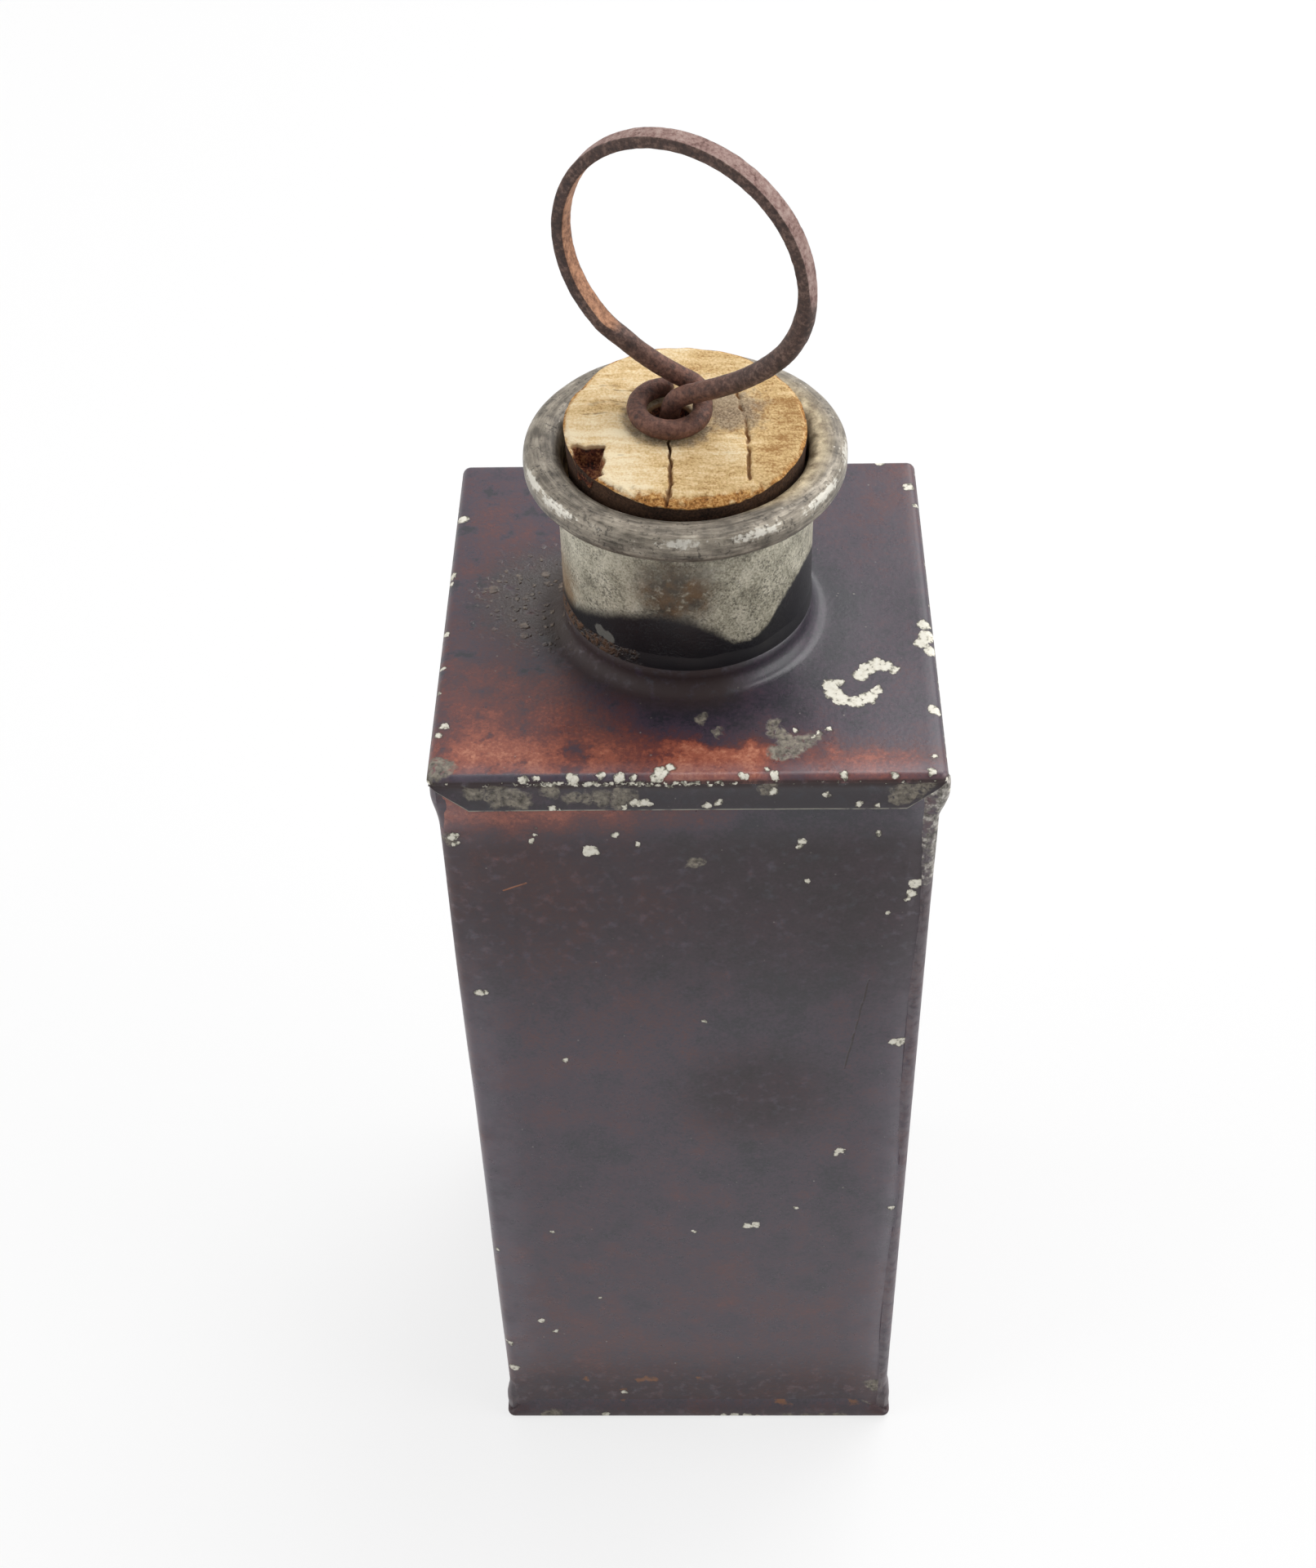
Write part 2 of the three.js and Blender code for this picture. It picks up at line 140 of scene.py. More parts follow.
SHOULDER_CHIPS = [
    (14.7, -12.5, 0.85), (15, -13.7, 1.05), (15.8, -14.7, 0.95), (17.3, -15.1, 1), (18.6, -14.4, 1),
    (19.5, -13.3, 0.7), (15.7, -12, 0.6), (18, -10.9, 0.9), (18.7, -9.9, 1), (19.7, -9.2, 1),
    (20.6, -9.6, 0.85), (21.4, -10.2, 0.6), (25, -3.1, 0.8), (25.3, -5, 0.95), (24.6, -6, 0.8),
    (25.4, -7.2, 0.75), (25.2, -16.5, 0.7), (24.7, -23.3, 0.4), (25, 20.9, 0.65), (25.5, 17.6, 0.4),
    (22, 25.4, 0.6), (-24.7, -18.3, 0.5), (-25.1, -19.7, 0.4), (-25.3, 15.7, 0.7),
    (-25.8, 5.8, 0.6), (-25.8, 4.6, 0.45), (-25.8, -3.8, 0.5), (-25.8, -9.2, 0.4),
    (-25.8, -13, 0.4), (-2.5, -25.1, 0.7), (-1.6, -24.5, 0.5), (-2.9, -25.7, 0.6),
    (-16.3, -25.9, 0.6), (-15.1, -25.8, 0.45), (-11.3, -25.9, 0.65), (-8.6, -25.6, 0.5),
    (-6.7, -25.7, 0.65), (-5.3, -25.9, 0.4), (5.6, -25.7, 0.5), (8, -25, 0.35), (8.7, -25.7, 0.55),
    (15.6, -25.7, 0.5), (20.7, -25.7, 0.45), (24.1, -25.4, 0.5), (14.4, -19.1, 0.4),
    (13.3, -19.7, 0.38), (12.7, -20.1, 0.3), (10.9, -19.3, 0.3),
]
FLANGE_CHIPS = [
    (-13.6, 118.1, 0.5), (-12.7, 118, 0.35), (-5.2, 118.7, 0.55), (-4.4, 118.9, 0.6),
    (-3.8, 118.6, 0.4), (-6.3, 118.3, 0.3), (1.9, 118.4, 0.5), (3.1, 118.8, 0.5),
    (8.6, 120.3, 0.55), (13.9, 119.7, 0.5), (17.2, 118.5, 0.45), (19, 118.3, 0.35),
    (-1.7, 121, 0.4), (2.3, 121.3, 0.35),
]

# Places worn to dull grey metal
SHOULDER_FLAKES = [
    (8.9, -18.3, 0.7), (9.2, -19.4, 0.8), (9.8, -20.7, 1.1), (9.2, -22.4, 1), (10.5, -21.9, 1.1),
    (11.7, -20.8, 1), (12.8, -20.1, 0.55), (-25, -24.4, 1.5), (1.6, -17.5, 0.5), (3.2, -19.8, 0.45),
]
FLANGE_FLAKES = [
    (-21.3, 120.2, 1), (-19, 119.8, 1.3), (-16.8, 119.5, 1.3), (-13.6, 120.4, 0.9),
    (-11.6, 119.3, 0.75), (-10, 119.3, 0.8), (-8.3, 119.6, 1), (-6.7, 119.2, 0.95),
    (-5.4, 119.1, 0.7), (8.3, 120.6, 0.8), (21.5, 120.1, 1.3), (23.2, 120.6, 1),
]
FRONT_FLAKES = [(23.6, 7.6, 1.3), (-24.6, 113.2, 0.9), (0.8, 109.5, 0.8)]
BASE_CHIPS = [
    (-12.6, 1, 0.6), (1.8, 0.5, 0.4), (3.4, 0.5, 0.55), (5, 0.6, 0.7), (6.6, 0.6, 0.65),
    (8.2, 0.4, 0.5), (10, 0.4, 0.4),
]
BASE_FLAKES = [
    (23.5, 4.2, 1.4), (-20, 0.6, 1.2), (12, 0.4, 0.8), (14.5, 0.4, 0.8), (17, 0.4, 0.8),
    (19.5, 0.4, 0.8),
]

RUST_MARKS = [
    (-15, 8.8, 0.5), (-7.6, 9.1, 0.6), (-6.6, 9.3, 0.7), (-5.6, 9.2, 0.5), (0, 8.8, 0.4),
    (-10.2, 6.2, 0.4),
]
BASE_RUST = [(11.1, 4, 0.9), (12.4, 3.9, 0.6), (21, 3.5, 0.7), (-10, 4.2, 0.5)]
NECK_FLAKES = [(-9, -9.7, 127.7, 0.75), (-8.2, -10.5, 127.4, 0.8)]

# Where the rim is rubbed bright: degrees round it, spread
RIM_WEAR = [(-158, 12), (-141, 14), (-91, 8), (-64, 11), (-32, 16), (-6, 9), (60, 14), (125, 18)]

# Upper limit of the japanning on the neck: degrees round it, height above the shoulder
NECK_LIMIT = [
    (-180, 5.2), (-156, 5.6), (-144, 6.6), (-132, 7.9), (-120, 9), (-104, 9.9), (-90, 9.6),
    (-79, 8.1), (-68, 5.8), (-59, 5.5), (-51, 6.3), (-44, 8), (-34, 9.6), (-20, 10.4), (10, 8.8),
    (60, 7.2), (120, 8.4), (155, 6), (180, 5.2),
]

# Cork's cracks and its pit, across and back
MIDDLE_CRACK = [(-1.6, -2.3), (-1.4, -5.4), (-1.3, -8.9), (-1.7, -11.6)]
RIGHT_CRACK = [(5.1, 6), (6, 1), (6.4, -4), (6.3, -8.8)]
PIT = [(-11.2, -3.8), (-7.9, -3.7), (-8, -7.9), (-10.4, -8.8)]
WORN_EDGE = (1.6, -12)
DUSTY = (4.6, 2.2)
CORK_CUT = math.radians(150)

# Camera, as fitted to the photograph
CAMERA_PLACE = (2.54, -187.3, 280.39)
CAMERA_LENS = 52.39
CAMERA_DOWN = 44.539
CAMERA_YAW = -1.922
CAMERA_ROLL = 1.748

# Strength of the sky, the side of it that is dimmer, by how much and how near to that direction
SKY = 0.5
DIM_SIDE = (0, -0.72, 0.69)
DIM_BY = 0.65
DIM_FROM = 0.6
DIM_FULL = 0.95

# Softboxes: name, place and size in metres, power in watts
SOFTBOXES = [
    ("above", (0.32, 0.35, 1.1), 0.7, 5.2),
    ("back", (0.6, 0.9, 0.9), 0.9, 4.5),
    ("left", (-0.8, -0.1, 0.5), 0.7, 2.6),
    ("right", (0.8, -0.1, 0.5), 0.7, 3.2),
]

# Floor: half its side and its depth under the tin, in metres, and how far it is plain white there
FLOOR_HALF = 3
FLOOR_DROP = 0.0002
FLOOR_WHITE = 0.75


# Numbers that pieces store on their vertices for their finishes
NECK_FIELDS = ("japanned", "inside", "rolled", "rubbed")
WIRE_FIELDS = ("facing", "low")
CORK_FIELDS = ("hollow", "crumbly", "side", "dusty")


class Socket:
    """A value in a finish. Arithmetic on it adds Math nodes."""

    def __init__(self, tree, output=None):
        self.tree = tree
        self.output = output

    def node(self, kind, settings=None, inputs=None, output=0):
        """Adds a node: its settings first, then the values or links of its sockets."""
        made = self.tree.nodes.new("ShaderNode" + kind)
        for name, value in (settings or {}).items():
            if name == "stops":
                spread_stops(made.color_ramp, value)
            else:
                setattr(made, name, value)
        for key, value in (inputs or {}).items():
            if isinstance(value, Socket):
                self.tree.links.new(value.output, made.inputs[key])
            else:
                made.inputs[key].default_value = value
        return Socket(self.tree, made.outputs[output] if made.outputs else None)

    def math(self, operation, *values):
        return self.node("Math", {"operation": operation}, dict(enumerate(values)))

    def __add__(self, other):
        return self.math("ADD", self, other)

    def __sub__(self, other):
        return self.math("SUBTRACT", self, other)

    def __rsub__(self, other):
        return self.math("SUBTRACT", other, self)

    def __mul__(self, other):
        return self.math("MULTIPLY", self, other)

    __radd__ = __add__
    __rmul__ = __mul__

    def vector(self, operation, inputs, output=0):
        return self.node("VectorMath", {"operation": operation}, inputs, output)

    def field(self, name):
        """A number stored on each vertex of the piece."""
        return self.node("Attribute", {"attribute_name": name}, output="Fac")

    def least(self, other):
        return self.math("MINIMUM", self, other)

    def most(self, other):
        return self.math("MAXIMUM", self, other)

    def size(self):
        return self.math("ABSOLUTE", self)

    def step(self, low, high):
        """0 at low rising smoothly to 1 at high."""
        limits = {"Value": self, "From Min": low, "From Max": high}
        return self.node("MapRange", {"interpolation_type": "SMOOTHSTEP"}, limits)

    def colours(self, *stops):
        """The colour of a ramp at this value."""
        return self.node("ValToRGB", {"stops": stops}, {0: self})

    def over(self, colour, mask):
        """This colour with another laid over it where the mask is 1."""
        return self.node("Mix", {"data_type": "RGBA"}, {0: mask, 6: self, 7: colour}, 2)

    def axes(self):
        parts = self.node("SeparateXYZ", {}, {0: self}).output.node.outputs
        return [Socket(self.tree, part) for part in parts]

    def shifted(self, amount, size):
        """This place moved about at random by up to the amount, in swirls of the size."""
        swirl = self.node("TexNoise", {}, {"Vector": self, "Scale": 1 / size, "Detail": 2}, 1)
        centred = self.vector("SUBTRACT", {0: swirl, 1: (0.5, 0.5, 0.5)})
        scaled = self.vector("SCALE", {0: centred, "Scale": 2 * amount})
        return self.vector("ADD", {0: self, 1: scaled})

    def stretched(self, x, y, z):
        return self.vector("MULTIPLY", {0: self, 1: (x, y, z)})

    def mottle(self, size, detail=3, seed=0):
        """Noise about 0.5 with features of the size, at this place."""
        values = {"Vector": self, "W": seed, "Scale": 1 / size, "Detail": detail, "Roughness": 0.6}
        return self.node("TexNoise", {"noise_dimensions": "4D"}, values)

    def spots(self, size, share, seed=0):
        """Round spots in a share of cells of the size: 1 in a spot's middle, 0 at its edge."""
        values = {"Vector": self, "W": seed, "Scale": 1 / size}
        cells = self.node("TexVoronoi", {"voronoi_dimensions": "4D"}, values)
        pick = Socket(self.tree, cells.output.node.outputs["Color"])
        chosen = pick.axes()[0].step(1 - share, 1 - share / 2)
        return chosen - cells * 3

    def away(self, point):
        """Distance from a point."""
        return self.vector("DISTANCE", {0: self, 1: point}, 1)

    def from_line(self, start, end):
        """Distance from a straight line between two points."""
        run = Vector(end) - Vector(start)
        offset = self.vector("SUBTRACT", {0: self, 1: start})
        passed = self.vector("DOT_PRODUCT", {0: offset, 1: run / run.length_squared}, 1)
        nearest = self.vector("SCALE", {0: run, "Scale": passed.most(0).least(1)})
        return self.vector("DISTANCE", {0: offset, 1: nearest}, 1)

    def depth(self, places):
        """How far inside the nearest of some round places, negative outside."""
        nearest = None
        for *point, radius in places:
            inside = radius - self.away(point)
            nearest = nearest.most(inside) if nearest else inside
        return nearest


def spread_stops(ramp, stops):
    """Gives a ramp its places and colours."""
    while len(ramp.elements) < len(stops):
        ramp.elements.new(1)
    for element, (place, colour) in zip(ramp.elements, stops):
        element.position = place
        element.color = (*colour, 1)


def new_finish(name):
    """An empty material, as its tree and the place on the object in millimetres."""
    material = bpy.data.materials.new(name)
    material.use_nodes = True
    material.node_tree.nodes.clear()
    tree = Socket(material.node_tree)
    place = tree.node("TexCoord", output="Object")
    return material, tree, place.vector("SCALE", {0: place, "Scale": 1 / MM})


def finish_with(tree, height, bump, **values):
    """Ends a material: a surface with the values given, roughened by a height in millimetres."""
    inputs = {name.replace("_", " ").title().replace("Ior", "IOR"): value for name, value in values.items()}
    reach = {"Height": height, "Strength": bump, "Distance": MM}
    inputs["Normal"] = tree.node("Bump", {}, reach)
    surface = tree.node("BsdfPrincipled", {}, inputs)
    tree.node("OutputMaterial", {}, {0: surface})


CREAM = (0.72, 0.68, 0.57, 1)
TIN_GREY = (0.3, 0.285, 0.23, 1)
# Dark red-brown: real grime on the body and in the flare, and painted shade under the fold and round chips.
GRIME_AND_SHADE = (0.023, 0.0095, 0.009, 1)
# Pale haze for painted sheen.
SHEEN_HAZE = (0.19, 0.165, 0.20, 1)
PALE_SPECK = (0.34, 0.31, 0.28, 1)
CRUST = (0.044, 0.030, 0.024, 1)
RUST = (0.24, 0.09, 0.025, 1)
SCRATCH_RED = (0.30, 0.11, 0.05, 1)
TARNISH_SPECK = (0.07, 0.062, 0.048, 1)
NECK_SHADE = (0.085, 0.073, 0.055, 1)
NECK_STAIN = (0.30, 0.17, 0.075, 1)
NECK_FLAKE = (0.15, 0.15, 0.135, 1)
NECK_BLACK = (0.006, 0.006, 0.008, 1)
RIM_PIT = (0.04, 0.033, 0.026, 1)
RIM_BRIGHT = (0.70, 0.67, 0.595, 1)
# Pale haze on solder, for painted sheen.
SOLDER_SHEEN = (0.24, 0.205, 0.22, 1)
FOOT_RUST = (0.13, 0.062, 0.026, 1)
CORK_STREAK = (0.23, 0.12, 0.045, 1)
CORK_PORE = (0.22, 0.10, 0.035, 1)
CORK_CRACK = (0.25, 0.115, 0.04, 1)
JAPAN_STOPS = (
    (0.0, (0.026, 0.024, 0.033)),
    (0.2, (0.056, 0.039, 0.058)),
    (0.4, (0.088, 0.038, 0.044)),
    (0.6, (0.165, 0.047, 0.038)),
    (0.8, (0.33, 0.095, 0.058)),
    (1.0, (0.54, 0.22, 0.135)),
)

# Scratches on the front: from, to, width, colour
SCRATCHES = [
    ((-19.4, -BODY, 105.5), (-17, -BODY, 106.6), 0.14, SCRATCH_RED),
    ((19.4, -BODY, 90.9), (17.3, -BODY, 75.5), 0.16, GRIME_AND_SHADE),
]


def japan_colour(place, thin):
    """Colour of japanning, blue-black where thick and red where thin, clouded and grained."""
    clouds = (place.mottle(14, 4, 1) - 0.5) * 0.5 + (place.mottle(3.5, 6, 2) - 0.5) * 0.6
    grain = (place.mottle(0.35, 4, 3) - 0.5) * 0.7
    return (thin + clouds + grain).colours(*JAPAN_STOPS)


def crusted(place, amount, colour, height):
    """A colour and a height with a crust of grains and pebbles gathered over them."""
    tumbled = place.shifted(0.3, 0.7)
    pebbles = tumbled.spots(1.9, 0.3, 25).step(-0.2, 0.2)
    grains = tumbled.spots(0.75, 0.9, 12).step(-0.6, 0.2).most(pebbles)
    crust = amount * place.mottle(2.4, 4, 16).step(0.26, 0.46)
    tan = place.mottle(0.9, 3, 17).colours((0.38, (0.06, 0.043, 0.034)), (0.62, (0.27, 0.205, 0.155)))
    colour = colour.over(CRUST, crust * 0.85).over(tan, crust * grains * 0.9)
    return colour, height + crust * (grains * 0.35 + place.mottle(0.35, 3, 22) * 0.2)


def japanning(
    name,
    thinness,
    spare,
    chips,
    flakes,
    rust=(),
    scratches=(),
    dirt=None,
    grime_and_shade=None,
    wear=None,
    painted_sheen=None,
):
    """Worn japanning, with painted sheen and painted shade where the functions given put them. Each
    function given for it says how much of that lies at a place.
    """
    material, tree, place = new_finish(name)
    ragged = place.shifted(0.5, 1.3).shifted(0.2, 0.4).shifted(0.08, 0.13)
    crumbled = place.shifted(1.2, 2.4).shifted(0.5, 0.7).shifted(0.2, 0.25)
    colour = japan_colour(place, thinness(place))
    height = place.mottle(0.5, 3, 11) * 0.03
    specks = place.spots(0.9, 0.6, 5).step(0.5, 0.75) * place.mottle(7, 3, 6).step(0.4, 0.6)
    colour = colour.over(PALE_SPECK, specks * 0.7)
    roughness = 0.2 + place.mottle(2.5, 4, 13) * 0.18
    if painted_sheen:
        # Painted sheen: a pale haze where the function given puts it.
        colour = colour.over(SHEEN_HAZE, painted_sheen(place) * place.mottle(3, 4, 23).step(0.2, 0.6))
    if grime_and_shade:
        # Grime, and painted shade where the function given puts it.
        dull = grime_and_shade(place) * place.mottle(1.5, 4, 15).step(0.25, 0.5)
        colour = colour.over(GRIME_AND_SHADE, dull)
        roughness = roughness + dull * 0.4
    if dirt:
        colour, height = crusted(place, dirt(place), colour, height)
    worn = crumbled.depth(flakes).step(-0.35, 0.15) * place.mottle(0.5, 3, 7).step(0.3, 0.5)
    grey = place.mottle(0.6, 5, 8).colours((0.32, (0.042, 0.035, 0.028)), (0.68, (0.31, 0.272, 0.215)))
    colour = colour.over(grey, worn)
    if rust:
        colour = colour.over(RUST, crumbled.depth(rust).step(-0.25, 0.25) * 0.75)
    for start, end, width, tint in scratches:
        line = place.shifted(0.15, 2).from_line(start, end).step(width, width * 0.4)
        colour = colour.over(tint, line * place.mottle(1.2, 3, 18).step(0.3, 0.5))
        height = height - line * 0.04
    rubbed = tree.field("edge").step(0.3, 0.8) * place.mottle(1.6, 5, 14).step(0.36, 0.52)
    colour = colour.over(TIN_GREY, rubbed)
    bare = ragged.depth(chips).most((ragged.spots(6, 0.5, 9) + spare(place) - 1) * 0.7)
    if wear:
        bare = bare.most((place.mottle(0.6, 4, 19) + wear(place) * 0.62 - 1.03) * 1.5)
    chipped = bare.step(-0.02, 0.04)
    # Painted shade: a dark line round each chip, under the raised edge of the paint.
    colour = colour.over(GRIME_AND_SHADE, (bare.step(-0.2, -0.03) - chipped) * 0.45)
    tin = (place.mottle(0.5, 4, 10) + bare.step(-0.02, 0.35) * 0.16).colours(
        (0.42, (0.11, 0.10, 0.075)),
        (0.50, TIN_GREY[:3]),
        (0.57, CREAM[:3]),
        (0.70, (0.84, 0.81, 0.71)),
    )
    colour = colour.over(tin, chipped)
    height = height - chipped * 0.07 - worn * 0.03
    roughness = roughness + chipped * 0.25 + worn * 0.2
    finish_with(tree, height, 0.7, base_color=colour, roughness=roughness)
    return material


def body_thinness(place):
    """How thin the body's japanning is: most under the flange, on the left and low down."""
    x, y, z = place.axes()
    ragged = z + (place.mottle(5, 3, 20) - 0.5) * 5
    front = y.step(-24, -25)
    under_flange = ragged.step(112.5, 117) * x.step(14, -10) * front
    upper_left = z.step(50, 118) * x.step(18, -24)
    # The bends are made thinner, which also paints a sheen along them.
    bends = x.size().least(y.size()).step(BODY - 1.2, BODY - 0.4)
    upper = z.step(85, 108) * x.step(-18, 0) * 0.1
    low = z.step(60, 10) * 0.13
    return 0.17 + under_flange * 0.42 + upper_left * 0.17 + low + bends * 0.08 - upper


def shoulder_thinness(place):
    """How thin the shoulder's japanning is: most along the front and on the left."""
    x, y, _ = place.axes()
    ragged = y + (place.mottle(4, 5, 20) - 0.5) * 9
    left = x.step(3, -13) * (0.1 + y.step(8, -12) * 0.13)
    front_left = x.step(2, -8) * x.step(-27, -20) * ragged.step(-8, -18) * 0.2
    front = ragged.step(-17, -23) * 0.17
    bright = (x - 3).size().step(8, 3) * ragged.step(-20, -22.5) * 0.5
    right = x.step(10, 15) * x.step(25, 21) * ragged.step(-21, -23.5) * 0.34
    back_right = x.step(6, 20) * y.step(2, 18) * 0.14
    islands = place.mottle(3, 5, 21).step(0.53, 0.72) * x.step(4, -6) * 0.5
    folded = y.step(-25.1, -25.5) * x.step(-2, -8)
    foot = place.stretched(1, 1, 0).away((1, -2, 0)).step(20, 15) * 0.14
    stained = (left + front_left + front + bright + right + back_right) * (1 - folded)
    return 0.15 + stained - islands - foot


def shoulder_grime_and_shade(place):
    """Grime in the flare round the neck, less on the right, and painted shadow down the fold."""
    x, _, z = place.axes()
    flare = place.stretched(1, 1, 0).away((0, 0, 0)).step(NECK + 5, NECK + 1)
    return (flare * (0.95 - x.step(3, 8) * 0.95)).most(z.step(SHOULDER - 0.3, SHOULDER - 0.65) * 0.9)


def flange_grime_and_shade(place):
    """Grime on the flange, with painted shadow under the fold."""
    return 0.4 + place.axes()[2].step(SHOULDER - 2.1, SHOULDER - 1.1) * 0.55


def fold_sheen(place):
    """Painted sheen: a pale haze over the front of the plate and its fold."""
    return place.axes()[1].step(-23.2, -25) * 0.32


def fold_wear(place):
    """How far the fold's lower edge is worn, most on the left of the front."""
    x, y, z = place.axes()
    front = (z - SHOULDER + 0.9).size().step(0.9, 0.2) * y.step(0.7 - PLATE, 0.3 - PLATE)
    side = (z - SHOULDER + 0.5).size().step(0.9, 0.3) * x.size().most(y).step(PLATE - 0.6, PLATE - 0.1)
    return front * (0.66 + (x + 6).size().step(13, 6) * 0.22) + side * 0.68


def base_darkening(place):
    """Darker towards the bottom of the base."""
    return place.axes()[2].step(5, 1) * 0.6


def flange_thinness(place):
    """How thin the shoulder flange's japanning is, a little more on the left."""
    return place.axes()[0].step(10, -10) * 0.06 - 0.02


def base_thinness(place):
    """How thin the base's japanning is, most at the bottom."""
    return place.axes()[2].step(5, 0) * 0.1 + 0.2


def shoulder_dirt(place):
    """Crust that has gathered on the left of the neck."""
    return place.away((-14.5, 2, SHOULDER)).step(11, 4)


def body_spare(place):
    """Stray chips everywhere but on the front panel, more of them on the bends."""
    x, y, _ = place.axes()
    bend = x.size().least(y.size()).step(BODY - 2, BODY - 0.3)
    off_front = y.step(0.6 - BODY, 2 - BODY)
    return off_front * (0.62 + bend * 0.2)


def body_grime(place):
    """Grime on the body, high up, low down and in a patch on the front."""
    z = place.axes()[2]
    high = z.step(76, 104) * z.step(117, 111) * 0.62
    patch = place.away((7.5, -BODY, 71)).step(14, 3) * 0.55
    return high.most(patch).most(z.step(19, 6) * 0.6)


def body_edge_sheen(place):
    """Painted sheen: a pale haze near the upright edges."""
    x, y, _ = place.axes()
    return x.size().least(y.size()).step(BODY - 7, BODY - 0.5) * 0.35


def shoulder_spare(place):
    """Stray chips on the folded edge and on the back and sides of the flange."""
    x, y, _ = place.axes()
    return x.size().most(y.size()).step(PLATE - 1.2, PLATE - 0.4) * 0.55


def base_spare(place):
    """Stray chips along the bottom edge."""
    return place.axes()[2].step(2.4, 0.2) * 0.6


def worn_tin():
    """Tarnished tinplate of the neck, japanned below a wavy limit."""
    material, tree, place = new_finish("worn_tin")
    x, _, z = place.axes()
    limit, inside, rolled, rubbed = (tree.field(name) for name in NECK_FIELDS)
    ragged = (place.mottle(1.5, 3, 1) - 0.5) * 0.8 + (place.mottle(0.3, 3, 18) - 0.5) * 0.8
    crisp = 1 + x.step(3, 7) * 2
    japanned = ((limit + ragged) * crisp).step(-1, 1)
    tarnish = place.mottle(0.22, 4, 2) * 0.5 + place.mottle(3, 6, 3) * 0.5
    colour = tarnish.colours(
        (0.38, (0.18, 0.165, 0.12)),
        (0.47, (0.40, 0.375, 0.285)),
        (0.54, (0.58, 0.545, 0.43)),
        (0.64, (0.76, 0.72, 0.60)),
    )
    specks = place.mottle(0.3, 5, 9).step(0.5, 0.6) * place.mottle(2.2, 4, 10).step(0.4, 0.58)
    colour = colour.over(TARNISH_SPECK, specks * 0.7)
    rust_at = place.shifted(1.5, 2.5).away((-1.2, -13.1, SHOULDER + 12.6))
    rust = rust_at.step(6, 1.5) * place.mottle(0.6, 4, 4).step(0.2, 0.5)
    tints = place.mottle(1.5, 4, 15).colours((0.42, (0.035, 0.022, 0.012)), (0.6, (0.12, 0.06, 0.02)))
    colour = colour.over(tints, rust * 0.92)
    under_roll = z.step(SHOULDER + RIM_TOP - 5, SHOULDER + RIM_TOP - 3.4)
    shade = place.shifted(2, 4).away((0, -NECK, SHOULDER + RIM_TOP - 3)).step(10, 3) * 0.75
    darkened = under_roll.most(shade) * place.mottle(1.2, 4, 12).step(0.3, 0.6) * 0.75
    colour = colour.over(NECK_SHADE, darkened)
    stain = (x + (place.mottle(1.5, 4, 19) - 0.5) * 4).step(-10.5, -12.5)
    low = z.step(SHOULDER + 13, SHOULDER + 6)
    colour = colour.over(NECK_STAIN, stain * low * 0.7)
    out = place.stretched(1, 1, 0).away((0, 0, 0))
    streaks = place.stretched(0.12, 0.12, 1).mottle(0.3, 4, out)
    pewter = (streaks * 0.5 + place.mottle(1.8, 6, 11) * 0.5 + rubbed * 0.12 - 0.04).colours(
        (0.38, (0.10, 0.085, 0.066)),
        (0.48, (0.22, 0.19, 0.15)),
        (0.57, (0.34, 0.30, 0.24)),
        (0.68, (0.58, 0.53, 0.45)),
    )
    colour = colour.over(pewter, rolled)
    pits = place.mottle(0.35, 4, 16).step(0.54, 0.62) * place.mottle(2, 4, 17).step(0.35, 0.6)
    colour = colour.over(RIM_PIT, pits * rolled * 0.75)
    flecks = place.spots(0.6, 0.6, 13).step(0.3, 0.5) * place.mottle(2.5, 3, 14).step(0.42, 0.6)
    broken = streaks * 0.35 + place.mottle(0.5, 6, 6) * 0.65
    bright = (rubbed + (broken - 0.5) * 3).step(0.5, 0.85) * rubbed.step(0.02, 0.2)
    bright = bright.most(flecks * rolled * 0.6)
    colour = colour.over(RIM_BRIGHT, bright * 0.85)
    # Golden tin inside the roll and the bore, lightened with painted light where it lies in shade.
    mouth = place.mottle(1, 4, 7).colours((0.35, (0.26, 0.19, 0.11)), (0.65, (0.78, 0.65, 0.43)))
    colour = colour.over(mouth, inside)
    colour = colour.over(NECK_BLACK, japanned)
    colour = colour.over(NECK_FLAKE, place.shifted(0.35, 0.8).depth(NECK_FLAKES).step(-0.1, 0.1))
    roughness = 0.45 - japanned * 0.1
    height = tarnish * (1 - rolled) * 0.05 - specks * 0.02 + (streaks * 0.02 - pits * 0.04) * rolled
    metallic = (1 - japanned) * (0.25 + rolled * 0.15)
    finish_with(tree, height, 0.6, base_color=colour, roughness=roughness, metallic=metallic)
    return material


